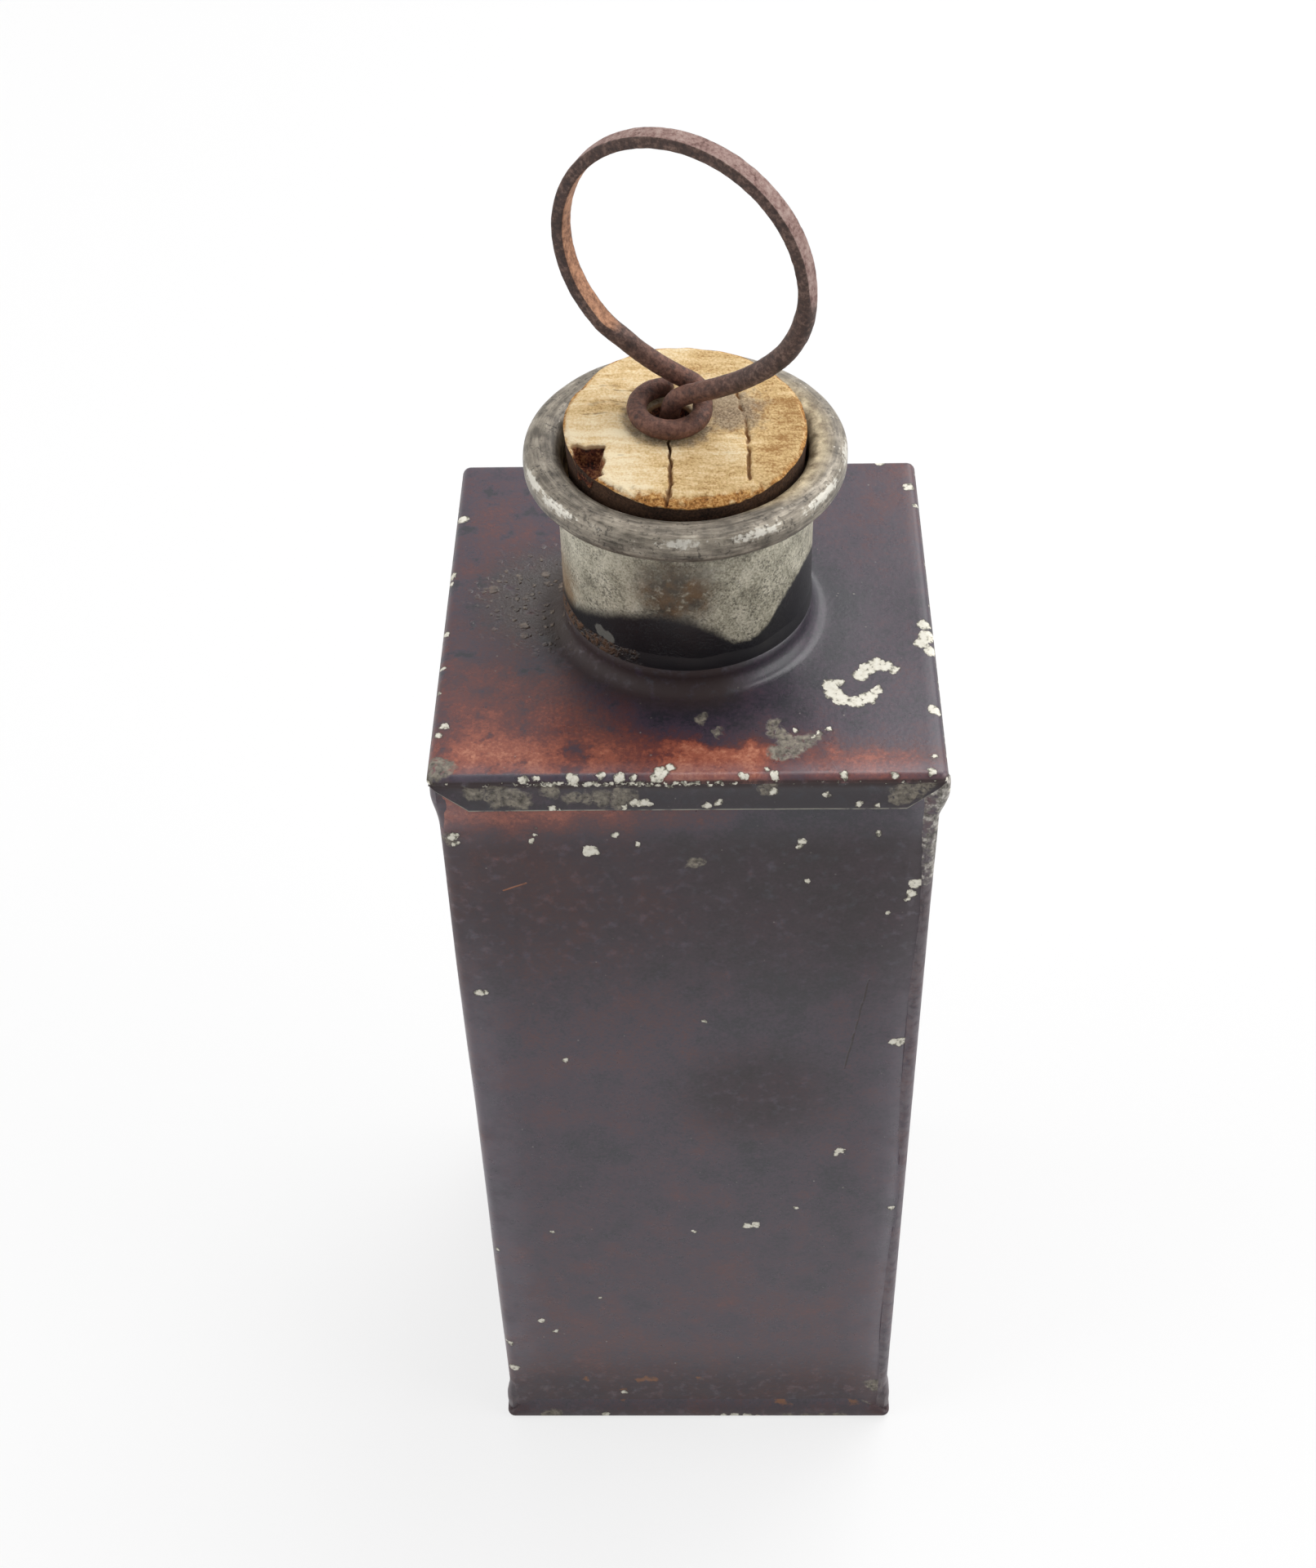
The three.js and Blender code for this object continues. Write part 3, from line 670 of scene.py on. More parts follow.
def soft_solder(name, thin, pale, bare_from, bare_right=0.0):
    """Dull grey solder under japanning with a painted sheen, bare above a height and to the right of a
    place.
    """
    material, tree, place = new_finish(name)
    x, _, z = place.axes()
    uneven = (place.mottle(2, 4, 20) - 0.5) * 6
    above = (z + uneven).step(bare_from, bare_from + 1)
    beside = (x + uneven * 0.15).step(bare_right, bare_right + 0.3)
    worn = (place.mottle(0.7, 5, 23) + x.step(BODY - 0.6, BODY + 0.2) * 0.3).step(0.42, 0.58)
    bare = above * beside * worn
    grain = place.mottle(0.6, 5, 21)
    metal = grain.colours(
        (0.38, (0.07, 0.064, 0.054)),
        (0.5, (0.24, 0.22, 0.195)),
        (0.62, (0.50, 0.47, 0.43)),
    )
    crumbs = place.shifted(0.4, 1).spots(1.3, 0.5, 22).step(0.1, 0.25)
    # Painted sheen: a pale haze, as strong as the share given.
    rubbed = place.mottle(1.2, 4, 24).step(0.35, 0.6) * pale
    colour = japan_colour(place, thin).over(GRIME_AND_SHADE, body_grime(place) * 0.8)
    colour = colour.over(SOLDER_SHEEN, rubbed).over(metal, bare)
    colour = colour.over(CREAM, crumbs * bare)
    roughness = 0.4 + bare * 0.1
    finish_with(tree, grain * 0.06, 0.6, base_color=colour, roughness=roughness, metallic=bare * 0.4)
    return material


def foot_japanning():
    """Black japanning over the bead at the neck's foot, rusted on the left."""
    material, tree, place = new_finish("foot_japanning")
    left = (place.axes()[0] + (place.mottle(2, 4, 1) - 0.5) * 8).step(-5, -9)
    rusted = left * place.mottle(0.6, 3, 2).step(0.35, 0.6)
    black = place.mottle(1, 3, 3).colours((0.3, NECK_BLACK[:3]), (0.7, (0.011, 0.010, 0.012)))
    colour = black.over(FOOT_RUST, rusted * 0.8)
    finish_with(tree, rusted, 0.5, base_color=colour, roughness=0.38 + rusted * 0.3)
    return material


def rusted_iron():
    """Rusty wire: dark on the sides of the ring, pale pink outside and orange inside it."""
    material, tree, place = new_finish("rusted_iron")
    facing, low = (tree.field(name) for name in WIRE_FIELDS)
    speckle = place.mottle(0.4, 5, 1)
    blotch = place.mottle(2, 4, 2)
    tone = speckle * 0.7 + blotch * 0.3
    colour = tone.colours(
        (0.36, (0.028, 0.017, 0.015)),
        (0.5, (0.080, 0.046, 0.037)),
        (0.62, (0.20, 0.125, 0.10)),
    )
    pink = tone.colours(
        (0.36, (0.09, 0.036, 0.028)),
        (0.46, (0.24, 0.14, 0.12)),
        (0.62, (0.40, 0.29, 0.255)),
    )
    orange = tone.colours((0.36, (0.14, 0.055, 0.028)), (0.62, (0.54, 0.28, 0.16)))
    red = tone.colours((0.38, (0.045, 0.018, 0.013)), (0.6, (0.21, 0.088, 0.057)))
    flat = facing + (blotch - 0.5) * 0.5
    colour = colour.over(pink, flat.step(0.35, 0.75)).over(orange, flat.step(-0.35, -0.75))
    colour = colour.over(red, low * 0.75)
    height = speckle * 0.14 + place.mottle(0.2, 2, 3) * 0.05
    finish_with(tree, height, 0.9, base_color=colour, roughness=0.55 + speckle * 0.2, metallic=0.25)
    return material


def dry_cork():
    """Cork: golden and layered on top, dusty by the wire, brown in cracks, and stained with painted shade
    over it on the sides.
    """
    material, tree, place = new_finish("dry_cork")
    hollow, crumbly, side, dusty = (tree.field(name) for name in CORK_FIELDS)
    across = place.shifted(0.7, 4).stretched(0.12, 1, 1)
    layers = across.mottle(0.7, 5, 1)
    grain = place.mottle(0.25, 4, 2)
    cloud = place.mottle(5, 4, 3)
    x, y, _ = place.axes()
    # Painted light on the front left of the top and painted shade on its right.
    golden = x.step(2, -8) * y.step(2, -6) * 0.11 - x.step(0, 9) * 0.05
    tone = layers * 0.4 + grain * 0.4 + cloud * 0.45 + golden - 0.095
    colour = tone.colours(
        (0.40, (0.36, 0.19, 0.065)),
        (0.48, (0.62, 0.42, 0.19)),
        (0.55, (0.77, 0.57, 0.31)),
        (0.66, (0.90, 0.76, 0.52)),
    )
    streaks = across.mottle(1.6, 3, 8).step(0.59, 0.66) * place.mottle(2, 2, 9).step(0.45, 0.6)
    colour = colour.over(CORK_STREAK, streaks * 0.7)
    pores = place.stretched(0.6, 1.5, 1).spots(1.3, 0.25, 4).step(0.25, 0.6)
    colour = colour.over(CORK_PORE, pores * 0.7)
    grey = grain.colours((0.3, (0.10, 0.07, 0.045)), (0.65, (0.46, 0.36, 0.25)))
    colour = colour.over(grey, (dusty + (place.mottle(1.1, 5, 5) - 0.5) * 1.6).step(0.25, 0.85) * 0.85)
    crumb = (grain * 0.6 + place.mottle(0.9, 4, 10) * 0.4).colours(
        (0.38, (0.09, 0.032, 0.010)),
        (0.5, (0.42, 0.19, 0.05)),
        (0.62, (0.70, 0.43, 0.16)),
    )
    colour = colour.over(crumb, (crumbly + (place.mottle(0.8, 4, 6) - 0.5) * 0.9).step(0.2, 0.55))
    colour = colour.over(CORK_CRACK, hollow.step(0.03, 0.2) * 0.7)
    red = (grain * 0.5 + place.mottle(1.4, 3, 11) * 0.5).colours(
        (0.40, (0.012, 0.005, 0.004)),
        (0.48, (0.10, 0.024, 0.012)),
        (0.58, (0.36, 0.16, 0.07)),
    )
    colour = colour.over(red, (hollow + (grain - 0.5) * 0.2).step(0.25, 0.5))
    stain = (grain * 0.5 + cloud * 0.5).colours(
        (0.38, (0.010, 0.006, 0.005)),
        (0.62, (0.11, 0.058, 0.034)),
    )
    # Stain down the side with painted shade over it, darkest just under the top.
    colour = colour.over(stain, (side + (place.mottle(0.7, 4, 7) - 0.5) * 0.7).step(0.3, 0.6))
    height = layers * 0.15 + grain * 0.12 - streaks * 0.1 - pores * 0.1
    finish_with(tree, height, 0.8, base_color=colour, roughness=0.85, specular_ior_level=0.25)
    return material


def ripple(point, size, seed=0):
    """Smooth random number from -1 to 1 at a point, in swells of the size."""
    return noise.noise(Vector(point).to_3d() / size + Vector((seed * 17.3, seed * 5.1, seed * 9.7)))


def ease(value, low, high):
    """0 at low rising smoothly to 1 at high."""
    share = min(max((value - low) / (high - low), 0), 1)
    return share * share * (3 - 2 * share)


def lerp(a, b, share):
    return a + (b - a) * share


def from_table(table, value):
    """Value read off a list of places and heights, on a smooth curve through them."""
    slopes = []
    for i in range(len(table)):
        (a, low), (b, high) = table[max(i - 1, 0)], table[min(i + 1, len(table) - 1)]
        slopes.append((high - low) / (b - a))
    for i, ((a, low), (b, high)) in enumerate(zip(table, table[1:])):
        if a <= value <= b:
            share = (value - a) / (b - a)
            bend = (slopes[i] * (1 - share) - slopes[i + 1] * share) * (b - a)
            bend += (high - low) * (2 * share - 1)
            return lerp(low, high, share) + share * (1 - share) * bend
    raise ValueError(value)


def grid_faces(rows, columns, around=False):
    """Four-sided faces of a grid of points listed row by row. Columns join up if it goes around."""
    faces = []
    for row in range(rows - 1):
        for column in range(columns if around else columns - 1):
            beside = (column + 1) % columns
            here = row * columns
            faces.append((here + column, here + beside, here + columns + beside, here + columns + column))
    return faces


def make_piece(name, points, faces, body, slot, finish, *nodes):
    """A smooth mesh that rides on a body and stands for some nodes. The slot's name it takes is not used.
    """
    mesh = bpy.data.meshes.new(name)
    mesh.from_pydata([Vector(point) * MM for point in points], [], faces)
    mesh.materials.append(finish)
    mesh.validate()
    mesh.shade_smooth()
    mesh.set_sharp_from_angle(angle=SHARP_EDGE)
    piece = bpy.data.objects.new(name, mesh)
    bpy.context.scene.collection.objects.link(piece)
    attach(piece, body)
    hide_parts(*nodes)
    return piece


def on_front(places, y):
    """Round places on the front, given as across, up and radius."""
    return [(x, y, z, radius) for x, z, radius in places]


def add_fields(piece, names, rows):
    """Stores numbers for the finish to read, given as one row of them for each vertex."""
    for name, values in zip(names, zip(*rows)):
        field = piece.data.attributes.new(name, "FLOAT", "POINT")
        field.data.foreach_set("value", values)


def thicken(piece, shares=()):
    """Gives a sheet its thickness, inwards, or a share of it at each vertex."""
    sheet = piece.modifiers.new("sheet", "SOLIDIFY")
    sheet.thickness = SHEET * MM
    sheet.offset = -1
    if shares:
        group = piece.vertex_groups.new(name="thickness")
        for vertex, share in enumerate(shares):
            group.add([vertex], share, "REPLACE")
        sheet.vertex_group = group.name


def directions(line):
    """Direction along a line of points at each of them."""
    last = len(line) - 1
    return [(line[min(i + 1, last)] - line[max(i - 1, 0)]).normalized() for i in range(last + 1)]


def run_to(line, end, spacing):
    """Adds points to a line, evenly spaced, up to an end."""
    start = line[-1]
    count = max(1, round((end - start).length / spacing))
    line += [start.lerp(end, (step + 1) / count) for step in range(count)]


def bent_line(corners, radius, spacing, steps=5):
    """Points along a bent strip: straight runs, with each right-angled corner turned on a radius."""
    corners = [Vector(corner) for corner in corners]
    line = [corners[0]]
    for before, corner, after in zip(corners, corners[1:], corners[2:]):
        back = (before - corner).normalized() * radius
        on = (after - corner).normalized() * radius
        run_to(line, corner + back, spacing)
        for step in range(1, steps + 1):
            angle = step * math.pi / 2 / steps
            line.append(corner + back * (1 - math.sin(angle)) + on * (1 - math.cos(angle)))
    run_to(line, corners[-1], spacing)
    return line


def body_dent(point):
    """How far a point of the body's sheet is pushed in or out, nothing near the plates."""
    z = point[2]
    held = ease(z, BODY_LOW + 5, BODY_LOW + 20) * (1 - ease(z, BODY_HIGH - 16, BODY_HIGH - 5))
    return held * (0.16 * ripple(point, 38) + 0.05 * ripple(point, 13, 1))


def make_body():
    """The sheet bent round into a square tube, with a tab lapped behind the front panel."""
    tab = -BODY + SHEET + LAP
    corners = [
        (BODY - SEAM_STEP, -BODY),
        (-BODY, -BODY),
        (-BODY, BODY),
        (BODY, BODY),
        (BODY, tab),
        (BODY - SEAM_TAB, tab),
    ]
    line = bent_line(corners, BODY_BEND, 2.5)
    rows = 49
    points = []
    for row in range(rows):
        z = lerp(BODY_LOW, BODY_HIGH, row / (rows - 1))
        for place, along in zip(line, directions(line)):
            point = Vector((*place, z))
            points.append(point + Vector((-along.y, along.x, 0)) * body_dent(point))
    finish = japanning(
        "body_japanning",
        body_thinness,
        body_spare,
        on_front(FRONT_CHIPS, -BODY),
        on_front(FRONT_FLAKES, -BODY),
        on_front(RUST_MARKS, -BODY),
        SCRATCHES,
        grime_and_shade=body_grime,
        painted_sheen=body_edge_sheen,
    )
    faces = [face[::-1] for face in grid_faces(rows, len(line))]
    piece = make_piece("tin_body", points, faces, "tin", "japan", finish, "body_wrap")
    thicken(piece)


def make_side_seam():
    """Solder that fills the step at the front right corner and runs out over the front panel."""
    rows = 160
    corner = 1.05
    points = []
    for row in range(rows):
        z = lerp(BODY_LOW, BODY_HIGH, row / (rows - 1))
        upper = ease(z, 98, 116)
        lap = 0.3 + 0.1 * upper + (0.1 + 0.35 * upper) * (1 + ripple((0, 0, z), 3.1)) / 2
        lap += (0.04 + 0.12 * upper) * ripple((4, 0, z), 0.9)
        proud = 0.02 + 0.015 * (1 + ripple((9, 0, z), 2.2)) + 0.1 * upper
        edge = BODY - SEAM_STEP - lap
        points.append((edge + 0.3, 0.3 - BODY, z))
        points.append((edge - 0.4, 0.06 - BODY, z))
        points.append((edge, -BODY - proud * 0.4, z))
        points.append((edge + 0.3, -BODY - proud * 0.8, z))
        for step in range(6):
            angle = step * math.pi / 2 / 5
            x = BODY - corner + (corner + proud * 0.7) * math.sin(angle)
            points.append((x, -BODY + corner - (corner + proud) * math.cos(angle), z))
        points.append((BODY + proud * 0.4, -BODY + 2 * corner, z))
        points.append((BODY - 0.06, -BODY + 3.2 * corner, z))
        points.append((BODY - 0.4, -BODY + 2 * corner, z))
    columns = len(points) // rows
    faces = grid_faces(rows, columns, True)
    faces += [tuple(range(columns))[::-1], tuple(range(len(points) - columns, len(points)))]
    finish = soft_solder("seam_metal", 0.24, 0.3, 106)
    make_piece("seam_solder", points, faces, "tin", "solder", finish, "side_seam_solder")


def plate_outline():
    """Points round the square plate with the outward direction at each."""
    corners = [(0, -PLATE), (-PLATE, -PLATE), (-PLATE, PLATE), (PLATE, PLATE), (PLATE, -PLATE), (0, -PLATE)]
    spacing = 1.4
    line = bent_line(corners, PLATE_CORNER, spacing)[:-1]
    outline = []
    for i, place in enumerate(line):
        along = line[(i + 1) % len(line)] - line[i - 1]
        nearest = min(abs(place.x), abs(place.y))
        if abs(PLATE - MITRE - nearest) < spacing / 2:
            axis = 0 if abs(place.x) < abs(place.y) else 1
            place[axis] = math.copysign(PLATE - MITRE, place[axis])
        outline.append((place, Vector((-along.y, along.x)).normalized()))
    return outline


def flange_depth(place, flange):
    """Depth of the flange at a point of the outline, cut back towards the corners."""
    from_corner = PLATE - min(abs(place.x), abs(place.y))
    return lerp(FOLD + 0.1, flange, min(max(from_corner / MITRE, 0), 1))


def folded_edge(place, out, flange, tuck):
    """Points down the fold and the flange at one point of the outline, z down from the plate."""
    points = []
    for step in range(7):
        angle = step * math.pi / 2 / 6
        inset = FOLD * (1 - math.sin(angle))
        points.append(Vector((*(place - out * inset), FOLD * (math.cos(angle) - 1))))
    depth = flange_depth(place, flange)
    wave = 0.06 * ripple((*place, 0), 7) - 0.06
    for share in FLANGE_ROWS:
        pressed = place + out * (wave * share - tuck(share))
        points.append(Vector((*pressed, -lerp(FOLD, depth, share))))
    return points


def hammered_in(share):
    """How far the shoulder's flange is hammered in below the fold."""
    return 0.18 * ease(share, 0, 0.2) * (1 - ease(share, 0.4, 1))


def drawn_in(share):
    """How far the base's flange is drawn in to the body towards its edge."""
    return (PLATE - BODY + 0.06) * ease(share, 0.15, 0.95)


def make_shoulder():
    """Plate with a folded flange and a collar flared up round the neck."""
    outline = plate_outline()
    columns = []
    flare = COLLAR + COLLAR_RISE
    for place, out in outline:
        ray = place.normalized()
        column = [Vector((*(ray * COLLAR), COLLAR_RISE + COLLAR_LIP))]
        for step in range(9):
            angle = math.pi + step * math.pi / 2 / 8
            radius = flare + COLLAR_RISE * math.cos(angle)
            column.append(Vector((*(ray * radius), COLLAR_RISE * (1 + math.sin(angle)))))
        edge = place - out * FOLD
        for step in range(1, 14):
            spot = (ray * flare).lerp(edge, step / 14)
            warp = 0.13 * ripple((*spot, 0), 15, 2) * math.sin(math.pi * step / 14)
            column.append(Vector((*spot, warp)))
        column += folded_edge(place, out, SHOULDER_FLANGE, hammered_in)
        columns.append(column)
    rows = len(columns[0])
    points = [column[row] + Vector((0, 0, SHOULDER)) for row in range(rows) for column in columns]
    faces = grid_faces(rows, len(columns), True)
    top = japanning(
        "shoulder_japanning",
        shoulder_thinness,
        shoulder_spare,
        [(x, y, SHOULDER - 0.1, size) for x, y, size in SHOULDER_CHIPS],
        [(x, y, SHOULDER, size) for x, y, size in SHOULDER_FLAKES],
        dirt=shoulder_dirt,
        grime_and_shade=shoulder_grime_and_shade,
        wear=fold_wear,
        painted_sheen=fold_sheen,
    )
    flange = japanning(
        "flange_japanning",
        flange_thinness,
        shoulder_spare,
        on_front(FLANGE_CHIPS, -PLATE),
        on_front(FLANGE_FLAKES, -PLATE),
        grime_and_shade=flange_grime_and_shade,
        wear=fold_wear,
    )
    piece = make_piece("shoulder", points, faces, "tin", "japan", top, "shoulder_plate")
    piece.data.materials.append(flange)
    first = (rows - 1 - len(FLANGE_ROWS)) * len(columns)
    for face in piece.data.polygons:
        face.material_index = 1 if face.index >= first else 0
    add_fields(piece, ["edge"], [(i // len(columns) // (rows - 1),) for i in range(len(points))])
    thicken(piece, [lerp(FEATHER, 1, ease(i // len(columns), 1, 7)) for i in range(len(points))])


def make_base():
    """Plate that closes the bottom, its flange turned up round the body."""
    outline = plate_outline()
    columns = []
    for place, out in outline:
        edge = place - out * FOLD
        column = []
        for step in range(1, 13):
            spot = edge * (step / 12)
            hollow = 0.12 * (1 + ripple((*spot, 0), 18, 4)) * (1 - ease(step / 12, 0.6, 0.95))
            column.append(Vector((*spot, hollow)))
        flange = folded_edge(place, out, BASE_FLANGE, drawn_in)
        column += [Vector((p.x, p.y, -p.z)) for p in flange[1:]]
        columns.append(column)
    count = len(columns)
    points = [column[row] for row in range(len(columns[0])) for column in columns]
    faces = [face[::-1] for face in grid_faces(len(columns[0]), count, True)]
    faces.append(tuple(range(count)))
    finish = japanning(
        "base_japanning",
        base_thinness,
        base_spare,
        on_front(BASE_CHIPS, -PLATE),
        on_front(BASE_FLAKES, -PLATE),
        on_front(BASE_RUST, -PLATE),
        grime_and_shade=base_darkening,
    )
    piece = make_piece("base", points, faces, "tin", "japan", finish, "base_plate")
    edge = len(columns[0]) - 1
    thicken(piece, [lerp(1, FEATHER, ease(i // count, edge - 4, edge)) for i in range(len(points))])


def revolve(profiles):
    """Points and faces of a ring, from a closed profile of radius and height at each direction."""
    count = len(profiles)
    length = len(profiles[0])
    points = []
    for i, profile in enumerate(profiles):
        angle = 2 * math.pi * i / count
        points += [(r * math.cos(angle), r * math.sin(angle), z) for r, z in profile]
    faces = []
    for i in range(count):
        for j in range(length):
            here = i * length
            there = (i + 1) % count * length
            beside = (j + 1) % length
            faces.append((here + j, there + j, there + beside, here + beside))
    return points, faces


def neck_line():
    """Middle line of the neck's sheet, up and over the roll, with the share of the roll passed."""
    straight = RIM_TOP - ROLL - SHEET / 2
    line = []
    for step in range(NECK_STEPS):
        z = lerp(NECK_FOOT, straight, step / NECK_STEPS)
        line.append((NECK - LIP_IN * ease(z, straight - LIP_HEIGHT, straight), z, 0))
    for step in range(ROLL_STEPS + 1):
        share = step / ROLL_STEPS
        angle = math.radians(lerp(180, ROLL_END, share))
        c, s = math.cos(angle), math.sin(angle)
        square = lerp(1, ROLL_SQUARE, ease(s, -0.6, 0))
        across = NECK + ROLL * (1 + math.copysign(abs(c) ** square, c)) - LIP_IN * max(-c, 0)
        line.append((across, RIM_TOP - SHEET / 2 - ROLL * (1 - math.copysign(abs(s) ** square, s)), share))
    return line


def rim_rubbing(degrees):
    """How bright the rim is rubbed at a direction round it."""
    rubbed = 0.3
    for place, spread in RIM_WEAR:
        gap = (degrees - place + 180) % 360 - 180
        rubbed = max(rubbed, math.exp(-((gap / spread) ** 2)))
    return rubbed


def neck_profile(turn, line):
    """Closed outline of the sheet at one direction round the neck: up outside, back over the roll."""
    outside, bore = [], []
    for (r, z, share), along in zip(line, directions([Vector(place[:2]) for place in line])):
        on = Vector((math.cos(turn) * r, math.sin(turn) * r, z))
        uneven = 0.05 * ripple(on, 5, 5) + 0.02 * ripple(on, 1.6, 6) - 0.03
        for crease in ROLL_CREASES:
            uneven -= 0.2 * math.exp(-((share - crease) / 0.018) ** 2)
        for face, push in ((outside, -SHEET / 2), (bore, SHEET / 2 + uneven)):
            face.append((r - along.y * push, z + along.x * push + SHOULDER))
    return outside + bore[::-1]


def make_neck():
    """Neck of bent sheet, its mouth rolled outwards over a wire."""
    line = neck_line()
    profiles, fields = [], []
    for i in range(NECK_COLUMNS):
        turn = 2 * math.pi * i / NECK_COLUMNS
        degrees = (math.degrees(turn) + 180) % 360 - 180
        limit = from_table(NECK_LIMIT, degrees) + SHOULDER
        wear = rim_rubbing(degrees)
        # Painted light: the golden inside reaches further up the roll on the right, where its slope is lit.
        golden = lerp(0.1, 0.3, ease(math.cos(turn), 0.2, 0.8))
        profile = neck_profile(turn, line)
        for j, (_, z) in enumerate(profile):
            outside = j < len(line)
            share = line[j if outside else 2 * len(line) - 1 - j][2]
            straight = outside and share == 0
            japanned = limit - z if straight else -5
            inside = 0 if outside else 1 - ease(share, golden - 0.08, golden + 0.06)
            rubbed = 0 if outside else wear * math.exp(-((share - 0.5) / 0.08) ** 2)
            fields.append((japanned, inside, 0 if straight else 1, rubbed))
        profiles.append(profile)
    points, faces = revolve(profiles)
    piece = make_piece("neck", points, faces, "tin", "tinplate", worn_tin(), "neck_tube")
    add_fields(piece, NECK_FIELDS, fields)


def make_neck_bead():
    """Smooth bead of solder that runs the collar into the neck."""
    count = 120
    low = SHOULDER + COLLAR_RISE + COLLAR_LIP - 0.3
    inner = NECK + SHEET / 2 - 0.06
    profiles = []
    for i in range(count):
        turn = 2 * math.pi * i / count
        on = (math.cos(turn) * NECK, math.sin(turn) * NECK, 0)
        top = NECK_BEAD * (1.2 + 0.25 * ripple(on, 3, 7))
        profile = [(inner, low)]
        for step in range(9):
            share = step / 8
            profile.append((lerp(COLLAR + 0.02, inner, ease(share, 0.05, 1)), low + top * share))
        profiles.append(profile)
    points, faces = revolve(profiles)
    make_piece("neck_bead", points, faces, "tin", "solder", foot_japanning(), "neck_solder")


def make_dab(name, node, corner, flange, base, finish):
    """Solder over a corner of a plate's flange, thinning out along the body's edge."""
    across, back, front_lap, side_lap, bulge = corner
    length = flange + 3.2
    spacing = 0.45
    line = bent_line([(4.5, 0), (0, 0), (0, 4.5)], BODY_BEND, spacing)
    middle = len(line) // 2
    rows = 26
    outer, inner = [], []
    for row in range(rows):
        down = lerp(FOLD * 0.5, length, row / (rows - 1))
        wide = 0.35 + 0.65 * ease(down, FOLD, flange) - 0.7 * ease(down, flange - 0.5, length)
        fade = ease(down, FOLD * 0.4, FOLD * 2) * (1 - ease(down, flange - 1.5, length))
        for i, (place, along) in enumerate(zip(line, directions(line))):
            out = Vector((-along.y, along.x))
            reach = abs(i - middle) * spacing
            lap = wide * (side_lap if i > middle else front_lap) + 0.3
            rough = 0.06 * ripple((i * spacing + across * 40, back * 30, down), 1.7, 9)
            level = PLATE - BODY - 0.15 + (bulge + rough) * (1 - min(reach / lap, 1) ** 2)
            proud = level * fade * (1 - ease(reach, lap * 0.6, lap)) - 0.04 * ease(reach, lap * 0.8, lap)
            for points, push in ((outer, proud), (inner, -0.25)):
                spot = place + out * push
                up = base - down if base > flange else down
                points.append((across * (BODY - spot.x), back * (BODY - spot.y), up))
    columns = len(line)
    half = len(outer)
    faces = grid_faces(rows, columns)
    faces += [tuple(half + vertex for vertex in face[::-1]) for face in faces]
    rim = list(range(columns))
    rim += [row * columns + columns - 1 for row in range(1, rows)]
    rim += [(rows - 1) * columns + column for column in range(columns - 2, -1, -1)]
    rim += [row * columns for row in range(rows - 2, 0, -1)]
    faces += [(b, a, half + a, half + b) for a, b in zip(rim, rim[1:] + rim[:1])]
    if across * back * (1 if base > flange else -1) < 0:
        faces = [face[::-1] for face in faces]
    make_piece(name, outer + inner, faces, "tin", "solder", finish, node)


def make_dabs():
    """Solder at the corners of both plates, bare only at the top front right."""
    corners = {
        "front_right": (1, -1, 0.8, 3.6, 0.6),
        "front_left": (-1, -1, 0.8, 1.6, 0.1),
        "back_left": (-1, 1, 1.5, 1.5, 0.2),
        "back_right": (1, 1, 2.2, 1.6, 0.3),
    }
    bare = soft_solder("bare_solder", 0.2, 0.3, SHOULDER - 9, BODY - 1.2)
    coated = soft_solder("coated_solder", 0.2, 0.12, SHOULDER)
    for corner, shape in corners.items():
        name = f"shoulder_solder_{corner}"
        finish = bare if corner == "front_right" else coated
        make_dab(f"shoulder_dab_{corner}", name, shape, SHOULDER_FLANGE, SHOULDER, finish)
        name = f"base_solder_{corner}"
        make_dab(f"base_dab_{corner}", name, shape[:4] + (0.1,), BASE_FLANGE, 0, coated)


def pull_frame():
    """Where the shank enters the cork, the direction up from there, and the ring's own axes."""
    joint = next(joint for joint in frame["joints"] if joint["name"] == "ring_swivel")
    up = Vector(joint["axis"]).normalized()
    across = (Vector((1, 0, 0)) - up * up.x).normalized()
    lean = Matrix((across, up.cross(across), up)).transposed()
    turned = lean @ Matrix.Rotation(math.radians(-RING_TURN), 3, "Z")
    return Vector(joint["pos_m"]) / MM, up, turned


def from_crack(line, x, y):
    """Distance of a place from a crack's line of points, and the share of the line passed there."""
    best = (1e9, 0)
    spot = Vector((x, y))
    for i, (a, b) in enumerate(zip(line, line[1:])):
        a, b = Vector(a), Vector(b)
        share = min(max((spot - a).dot(b - a) / (b - a).length_squared, 0), 1)
        gap = (spot - a.lerp(b, share)).length
        best = min(best, (gap, (i + share) / (len(line) - 1)))
    return best


def inside_pit(x, y):
    """Distance inside the pit's outline, negative outside."""
    depth = 1e9
    for (ax, ay), (bx, by) in zip(PIT, PIT[1:] + PIT[:1]):
        edge = Vector((bx - ax, by - ay)).normalized()
        depth = min(depth, edge.y * (x - ax) - edge.x * (y - ay))
    return depth


def cork_relief(x, y):
    """Depth of the cork's cracks and of its pit at a place on its top."""
    jitter = 0.25 * ripple((x, y, 0), 0.8, 11)
    gap, share = from_crack(MIDDLE_CRACK, x + jitter, y)
    width = 0.08 + 0.1 * ease(share, 0.1, 0.5) * (1 + ripple((x, y, 3), 1.2, 12))
    crack = 0.7 * (1 - ease(gap, width * 0.4, width * 1.7)) * ease(share, 0.0, 0.05)
    gap, share = from_crack(RIGHT_CRACK, x + jitter, y)
    broken = 0.5 + 0.5 * ripple((x, y, 5), 1.6, 13)
    thin = 0.5 * (1 - ease(gap, 0.05, 0.3)) * ease(broken, 0.15, 0.5) * (1 - ease(share, 0.93, 1))
    pit = 2.4 * ease(inside_pit(x, y) + 0.35 * ripple((x, y, 2), 0.9, 14), -0.1, 0.5)
    pit *= 0.75 + 0.4 * ripple((x, y, 8), 1.1, 15)
    return max(crack, thin), max(pit, 0)


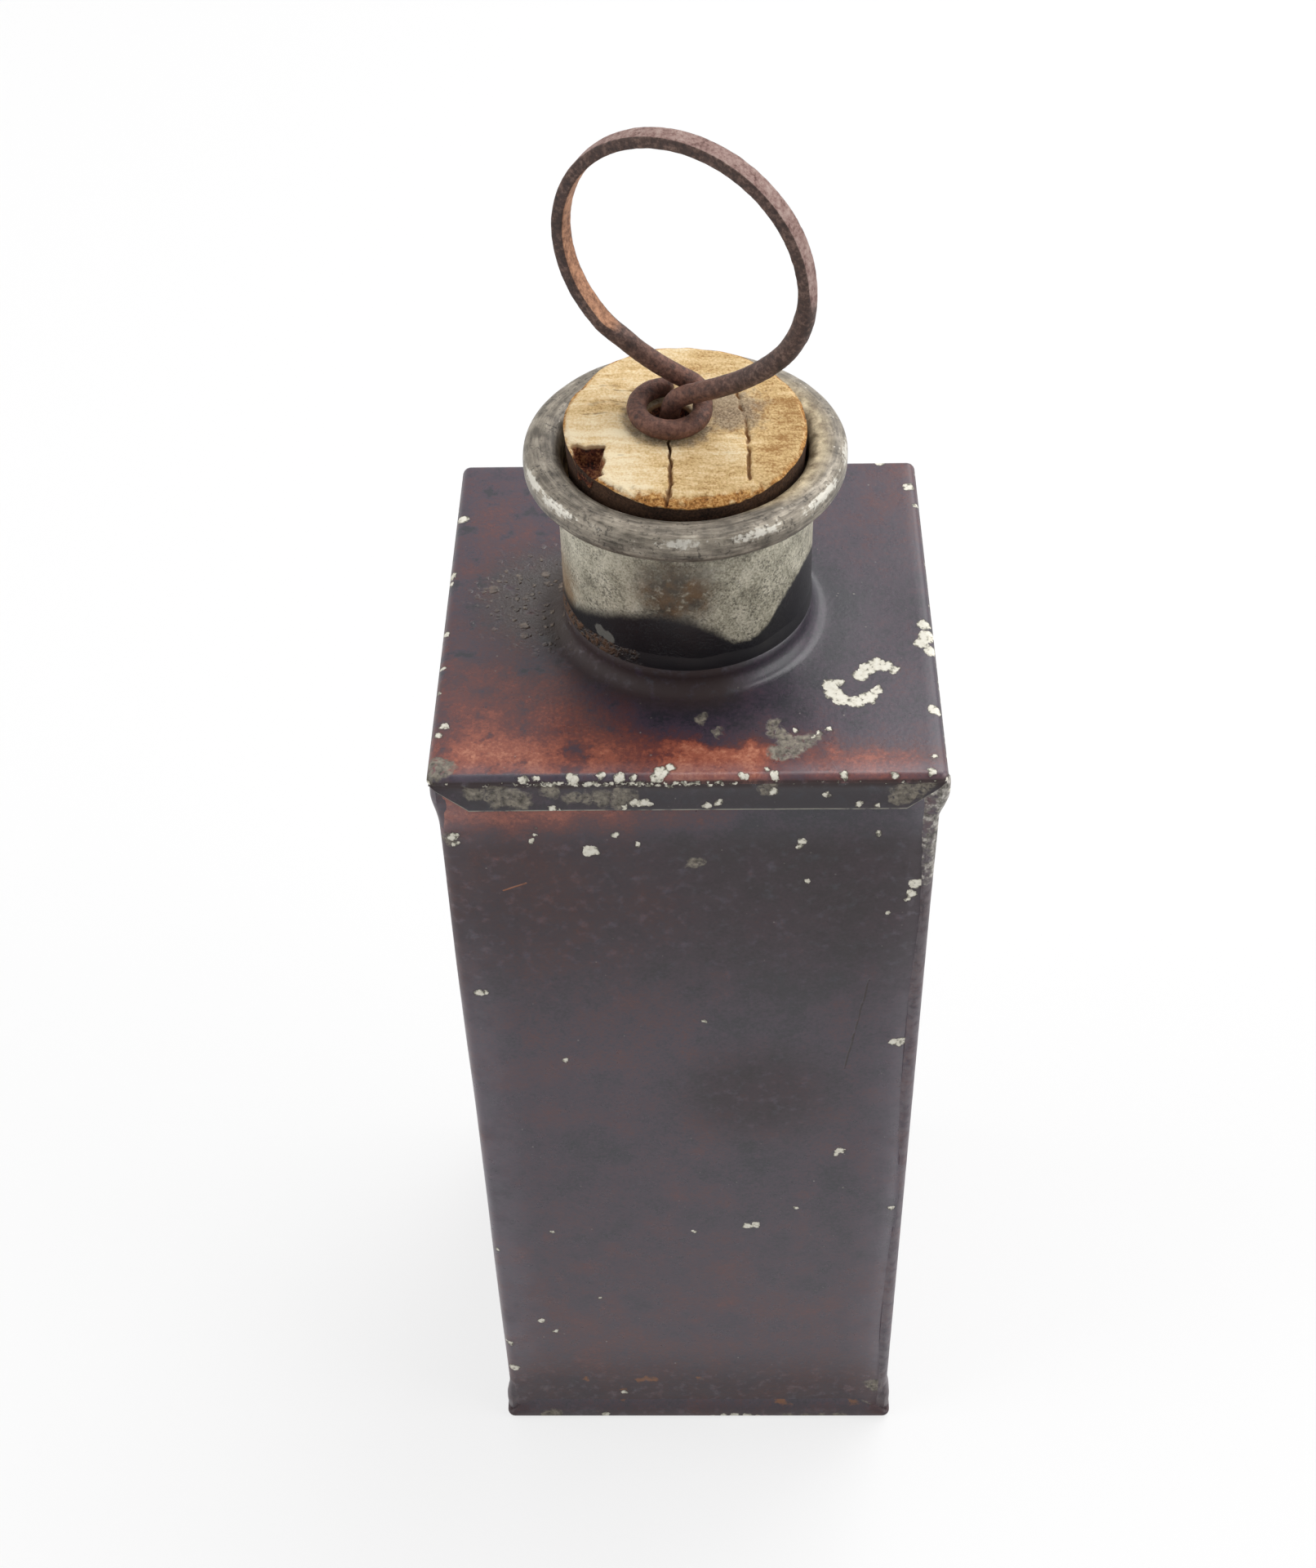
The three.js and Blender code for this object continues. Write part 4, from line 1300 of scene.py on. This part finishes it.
def cork_edge(turn):
    """Direction out from the cork's middle, and its radius there."""
    ray = Vector((math.cos(turn), math.sin(turn)))
    rim = CORK_RADIUS - 0.06 + 0.06 * ripple(ray * 12, 3, 16) + 0.05 * ripple(ray * 12, 0.9, 17)
    rim -= 0.5 * math.exp(-((turn - CORK_CUT) / 0.22) ** 2)
    return ray, rim + 0.14 * ease(ray.x, 0.3, 0.9)


def front_wear(spot):
    """How far a place on the cork shares in the wear of its front edge."""
    return 1 - ease((spot - Vector(WORN_EDGE)).length, 4, 9)


def cork_top(spot, ray, rim, shank):
    """Depth of a place on the cork's top below its plane, and the row of its fields."""
    to_edge = rim - spot.length
    from_shank = math.hypot(spot.x - shank.x, spot.y - shank.y)
    ragged = 0.5 + 0.5 * ripple((*spot, 0), 0.8, 18)
    worn = front_wear(spot) * ragged * (1 - ease(to_edge, 0.2, 2))
    drop = (0.3 + 0.2 * ripple(ray * 12, 2, 19)) * (1 - ease(to_edge, 0, 0.6)) + 0.55 * worn
    crack, pit = cork_relief(*spot)
    hole = 1.2 * (1 - ease(from_shank, 1.9, 2.6))
    seat = 0.12 * ease(from_shank, 1.5, 2.4) * (1 - ease(from_shank, 4.2, 5))
    swell = 0.08 * ripple((*spot, 0), 3.2, 20) + 0.03 * ripple((spot.x / 4, spot.y, 0), 0.5, 21)
    edging = (1 - ease(to_edge, 0, 0.7)) * (0.5 + 0.3 * ripple(ray * 12, 2.5, 23))
    haze = 1 - ease((spot - Vector(DUSTY)).length, 1, 6.5)
    hollow = min(max(crack * 0.55, pit, hole), 1)
    crumbly = max(worn * 1.3, edging, hole * 0.3)
    dusty = max(haze, 0.8 - ease(from_shank, 3.8, 6.5)) * 0.9
    return drop + max(crack, pit, hole) - min(swell, 0) + seat, (hollow, crumbly, 0, dusty)


def cork_side(share, ray, rim):
    """Place and depth at a share of the way down the cork's side, and the row of its fields."""
    down = CORK_LENGTH * share ** 1.7
    pitted = 0.06 * abs(ripple((*ray * 12, down), 0.8, 22))
    radius = rim - CORK_TAPER * down / CORK_LENGTH - pitted
    # Stain and painted shade on the side, darkest just under the top edge.
    stained = ease(down, -0.1, 0.2) * (1 - 0.75 * ease(down, 1, 9))
    return ray * radius, 0.36 + 0.35 * front_wear(ray * rim) + down, (0, 0.3, stained, 0)


def make_cork():
    """Taper cork, its leaning top cracked, pitted and worn at the front."""
    shank, up, _ = pull_frame()
    edges = [cork_edge(2 * math.pi * i / CORK_COLUMNS) for i in range(CORK_COLUMNS)]
    points, fields = [], []

    def top_height(spot):
        return shank.z - (up.x * (spot.x - shank.x) + up.y * (spot.y - shank.y)) / up.z

    for ring in range(1, CORK_RINGS + 1):
        for ray, rim in edges:
            spot = ray * rim * (ring / CORK_RINGS) ** 0.85
            depth, row = cork_top(spot, ray, rim, shank)
            points.append((*spot, top_height(spot) - depth))
            fields.append(row)
    for level in range(1, CORK_ROWS + 1):
        for ray, rim in edges:
            spot, depth, row = cork_side(level / CORK_ROWS, ray, rim)
            points.append((*spot, top_height(ray * rim) - depth))
            fields.append(row)
    faces = [face[::-1] for face in grid_faces(CORK_RINGS + CORK_ROWS, CORK_COLUMNS, True)]
    faces.append(tuple(range(CORK_COLUMNS)))
    faces.append(tuple(range(len(points) - CORK_COLUMNS, len(points)))[::-1])
    piece = make_piece("stopper_cork", points, faces, "stopper", "cork", dry_cork(), "cork")
    add_fields(piece, CORK_FIELDS, fields)


def pull_route():
    """Points of the pull wire in its own axes: foot, shank, right leg, ring, left leg and coil."""
    points = [Vector((-FOOT_LENGTH, 0, FOOT_LOW))]
    for turn in range(0, 91, 30):
        aside = -FOOT_BEND + FOOT_BEND * math.sin(math.radians(turn))
        points.append(Vector((aside, 0, FOOT_LOW + FOOT_BEND * (1 - math.cos(math.radians(turn))))))
    points.append(Vector((0, 0, -9)))
    points += [Vector(point) for point in RIGHT_LEG]
    for turn in range(RING_FROM, RING_TO + 1, 12):
        across = RING_OFFSET + RING_RADIUS * math.cos(math.radians(turn))
        points.append(Vector((across, 0, RING_HEIGHT + RING_RADIUS * math.sin(math.radians(turn)))))
    points += [Vector(point) for point in LEFT_LEG]
    for turn in range(COIL_FROM, COIL_TO - 1, -14):
        height = COIL_LOW + COIL_CLIMB * ease(turn, 5, COIL_FROM)
        around = Vector((math.cos(math.radians(turn)), math.sin(math.radians(turn)), 0)) * COIL_RADIUS
        points.append(around + Vector((0, 0, height)))
    return points


def smooth_route(points, spacing):
    """A smooth line through points, with points at an even spacing on it."""
    padded = [points[0] * 2 - points[1], *points, points[-1] * 2 - points[-2]]
    fine = []
    for a, b, c, d in zip(padded, padded[1:], padded[2:], padded[3:]):
        knots = [0]
        for start, end in ((a, b), (b, c), (c, d)):
            knots.append(knots[-1] + (end - start).length ** 0.5)
        for step in range(24):
            t = lerp(knots[1], knots[2], step / 24)
            held = [a, b, c, d]
            for spans in (((0, 1), (1, 2), (2, 3)), ((0, 2), (1, 3)), ((1, 2),)):
                shares = [(t - knots[low]) / (knots[high] - knots[low]) for low, high in spans]
                held = [p.lerp(q, share) for p, q, share in zip(held, held[1:], shares)]
            fine.append(held[0])
    fine.append(points[-1])
    even = [fine[0]]
    for a, b in zip(fine, fine[1:]):
        while (b - even[-1]).length >= spacing:
            even.append(even[-1] + (b - even[-1]).normalized() * spacing)
    return even


def wire_flatness(point):
    """How far the wire is hammered flat at a point of its route, from 0 round to 1 flat."""
    turn = math.degrees(math.atan2(point.z - RING_HEIGHT, point.x - RING_OFFSET))
    turn = (turn + 90) % 360 - 90
    return ease(turn, BAND_FROM, BAND_FROM + BAND_FADE) * (1 - ease(turn, BAND_TO - BAND_FADE, BAND_TO))


def carried_axes(route):
    """Directions along the wire, and sideways ones carried along it from the ring's top without twist."""
    along = directions(route)
    top = max(range(len(route)), key=lambda i: route[i].z)
    sideways = [None] * len(route)
    sideways[top] = Vector((0, 1, 0))
    for order in (range(top + 1, len(route)), range(top - 1, -1, -1)):
        held = sideways[top]
        for i in order:
            held = (held - along[i] * held.dot(along[i])).normalized()
            sideways[i] = held
    return along, sideways


def make_pull_wire():
    """One wire: clenched under the cork, up into a ring hammered flat, and back down into a coil."""
    origin, _, turned = pull_frame()
    route = smooth_route(pull_route(), WIRE_STEP)
    along, sideways = carried_axes(route)
    points, fields = [], []
    for i, middle in enumerate(route):
        axial = sideways[i]
        radial = axial.cross(along[i])
        outward = radial.dot(Vector((middle.x - RING_OFFSET, 0, middle.z - RING_HEIGHT)).normalized())
        radial = radial if outward >= 0 or middle.z < 6 else -radial
        flat = wire_flatness(middle)
        thick = lerp(WIRE, BAND, flat)
        square = lerp(1, BAND_SQUARE, flat)
        from_end = min(i, len(route) - 1 - i) * WIRE_STEP
        tip = math.sqrt(max(1 - (1 - min(from_end / WIRE_TIP, 1)) ** 2, 0.02))
        for side in range(WIRE_SIDES):
            angle = (side + 0.5) * 2 * math.pi / WIRE_SIDES
            c, s = math.cos(angle), math.sin(angle)
            out = radial * math.copysign(abs(c) ** square, c) * thick
            out += axial * math.copysign(abs(s) ** square, s) * WIRE
            spot = middle + out
            pitted = 0.03 * ripple(spot, 0.8, 30) + 0.025 * ripple(spot, 0.35, 31) - 0.03
            points.append(origin + turned @ (middle + out * tip * (1 + pitted)))
            facing = c * flat * (1 if abs(c) > 0.75 else 0.3)
            fields.append((facing, 1 - ease(middle.z, 3, 9)))
    faces = grid_faces(len(route), WIRE_SIDES, True)
    faces += [tuple(range(WIRE_SIDES))[::-1], tuple(range(len(points) - WIRE_SIDES, len(points)))]
    piece = make_piece("pull_ring", points, faces, "pull_ring", "iron", rusted_iron(), "pull_wire")
    add_fields(piece, WIRE_FIELDS, fields)


def seen_rays(tree):
    """1 for rays from the camera and for reflections."""
    seen = tree.node("LightPath", output="Is Camera Ray")
    for kind in ("Is Glossy Ray", "Is Transmission Ray"):
        seen = seen.most(tree.node("LightPath", output=kind))
    return seen


def make_stage():
    """White floor that keeps the object's soft shadow."""
    corners = [(x * FLOOR_HALF, y * FLOOR_HALF, 0) for x, y in ((-1, -1), (1, -1), (1, 1), (-1, 1))]
    mesh = bpy.data.meshes.new("floor")
    mesh.from_pydata(corners, [], [(0, 1, 2, 3)])
    floor = bpy.data.objects.new("floor", mesh)
    floor.location.z = -FLOOR_DROP
    bpy.context.scene.collection.objects.link(floor)
    material, tree, place = new_finish("paper")
    paper = tree.node("BsdfDiffuse", {}, {"Color": (0.9, 0.9, 0.9, 1)})
    white = tree.node("Emission", {}, {"Color": (1, 1, 1, 1), "Strength": 1.0})
    far = place.away((0, 0, 0)).step(300, 1000)
    share = seen_rays(tree) * (FLOOR_WHITE + far * (1 - FLOOR_WHITE))
    tree.node("OutputMaterial", {}, {0: tree.node("MixShader", {}, {0: share, 1: paper, 2: white})})
    mesh.materials.append(material)


def make_light():
    """Even white sky, dimmer where the camera stands, with softboxes above, behind and at both sides."""
    scene = bpy.context.scene
    scene.world = bpy.data.worlds.new("sky")
    scene.world.use_nodes = True
    scene.world.node_tree.nodes.clear()
    tree = Socket(scene.world.node_tree)
    camera_ray = tree.node("LightPath", output="Is Camera Ray")
    towards = tree.node("TexCoord", output="Generated")
    near = towards.vector("DOT_PRODUCT", {0: towards, 1: DIM_SIDE}, 1)
    dim = near.step(DIM_FROM, DIM_FULL) * (1 - camera_ray) * DIM_BY
    strength = (SKY + seen_rays(tree) * (1 - SKY)) * (1 - dim)
    sky = tree.node("Background", {}, {"Color": (1, 1, 1, 1), "Strength": strength})
    tree.node("OutputWorld", {}, {0: sky})
    for name, place, size, power in SOFTBOXES:
        lamp = bpy.data.lights.new(name, "AREA")
        lamp.size = size
        lamp.energy = power
        softbox = bpy.data.objects.new(name, lamp)
        softbox.location = place
        aim = Vector((0, 0, SHOULDER * MM)) - Vector(place)
        softbox.rotation_euler = aim.to_track_quat("-Z", "Y").to_euler()
        scene.collection.objects.link(softbox)


def make_camera():
    """Camera at the photograph's place, turned down, aside and over."""
    down, yaw, roll = (math.radians(angle) for angle in (CAMERA_DOWN, CAMERA_YAW, CAMERA_ROLL))
    ahead = Vector((math.sin(yaw) * math.cos(down), math.cos(yaw) * math.cos(down), -math.sin(down)))
    level = Vector((math.cos(yaw), -math.sin(yaw), 0))
    below = ahead.cross(level)
    right = level * math.cos(roll) + below * math.sin(roll)
    under = below * math.cos(roll) - level * math.sin(roll)
    data = bpy.data.cameras.new("camera")
    data.lens = CAMERA_LENS
    data.sensor_width = 36
    data.clip_start = 0.01
    camera = bpy.data.objects.new("camera", data)
    camera.matrix_world = Matrix((right, -under, -ahead)).transposed().to_4x4()
    camera.location = Vector(CAMERA_PLACE) * MM
    bpy.context.scene.collection.objects.link(camera)
    bpy.context.scene.camera = camera


make_camera()
make_stage()
make_light()
make_body()
make_side_seam()
make_shoulder()
make_base()
make_neck()
make_neck_bead()
make_dabs()
make_cork()
make_pull_wire()
rim_wire = frame["nodes"]["rim_wire"]
rim_wire.data.materials.clear()
rim_wire.data.materials.append(bpy.data.materials["rusted_iron"])
bpy.context.scene.view_settings.view_transform = "Standard"
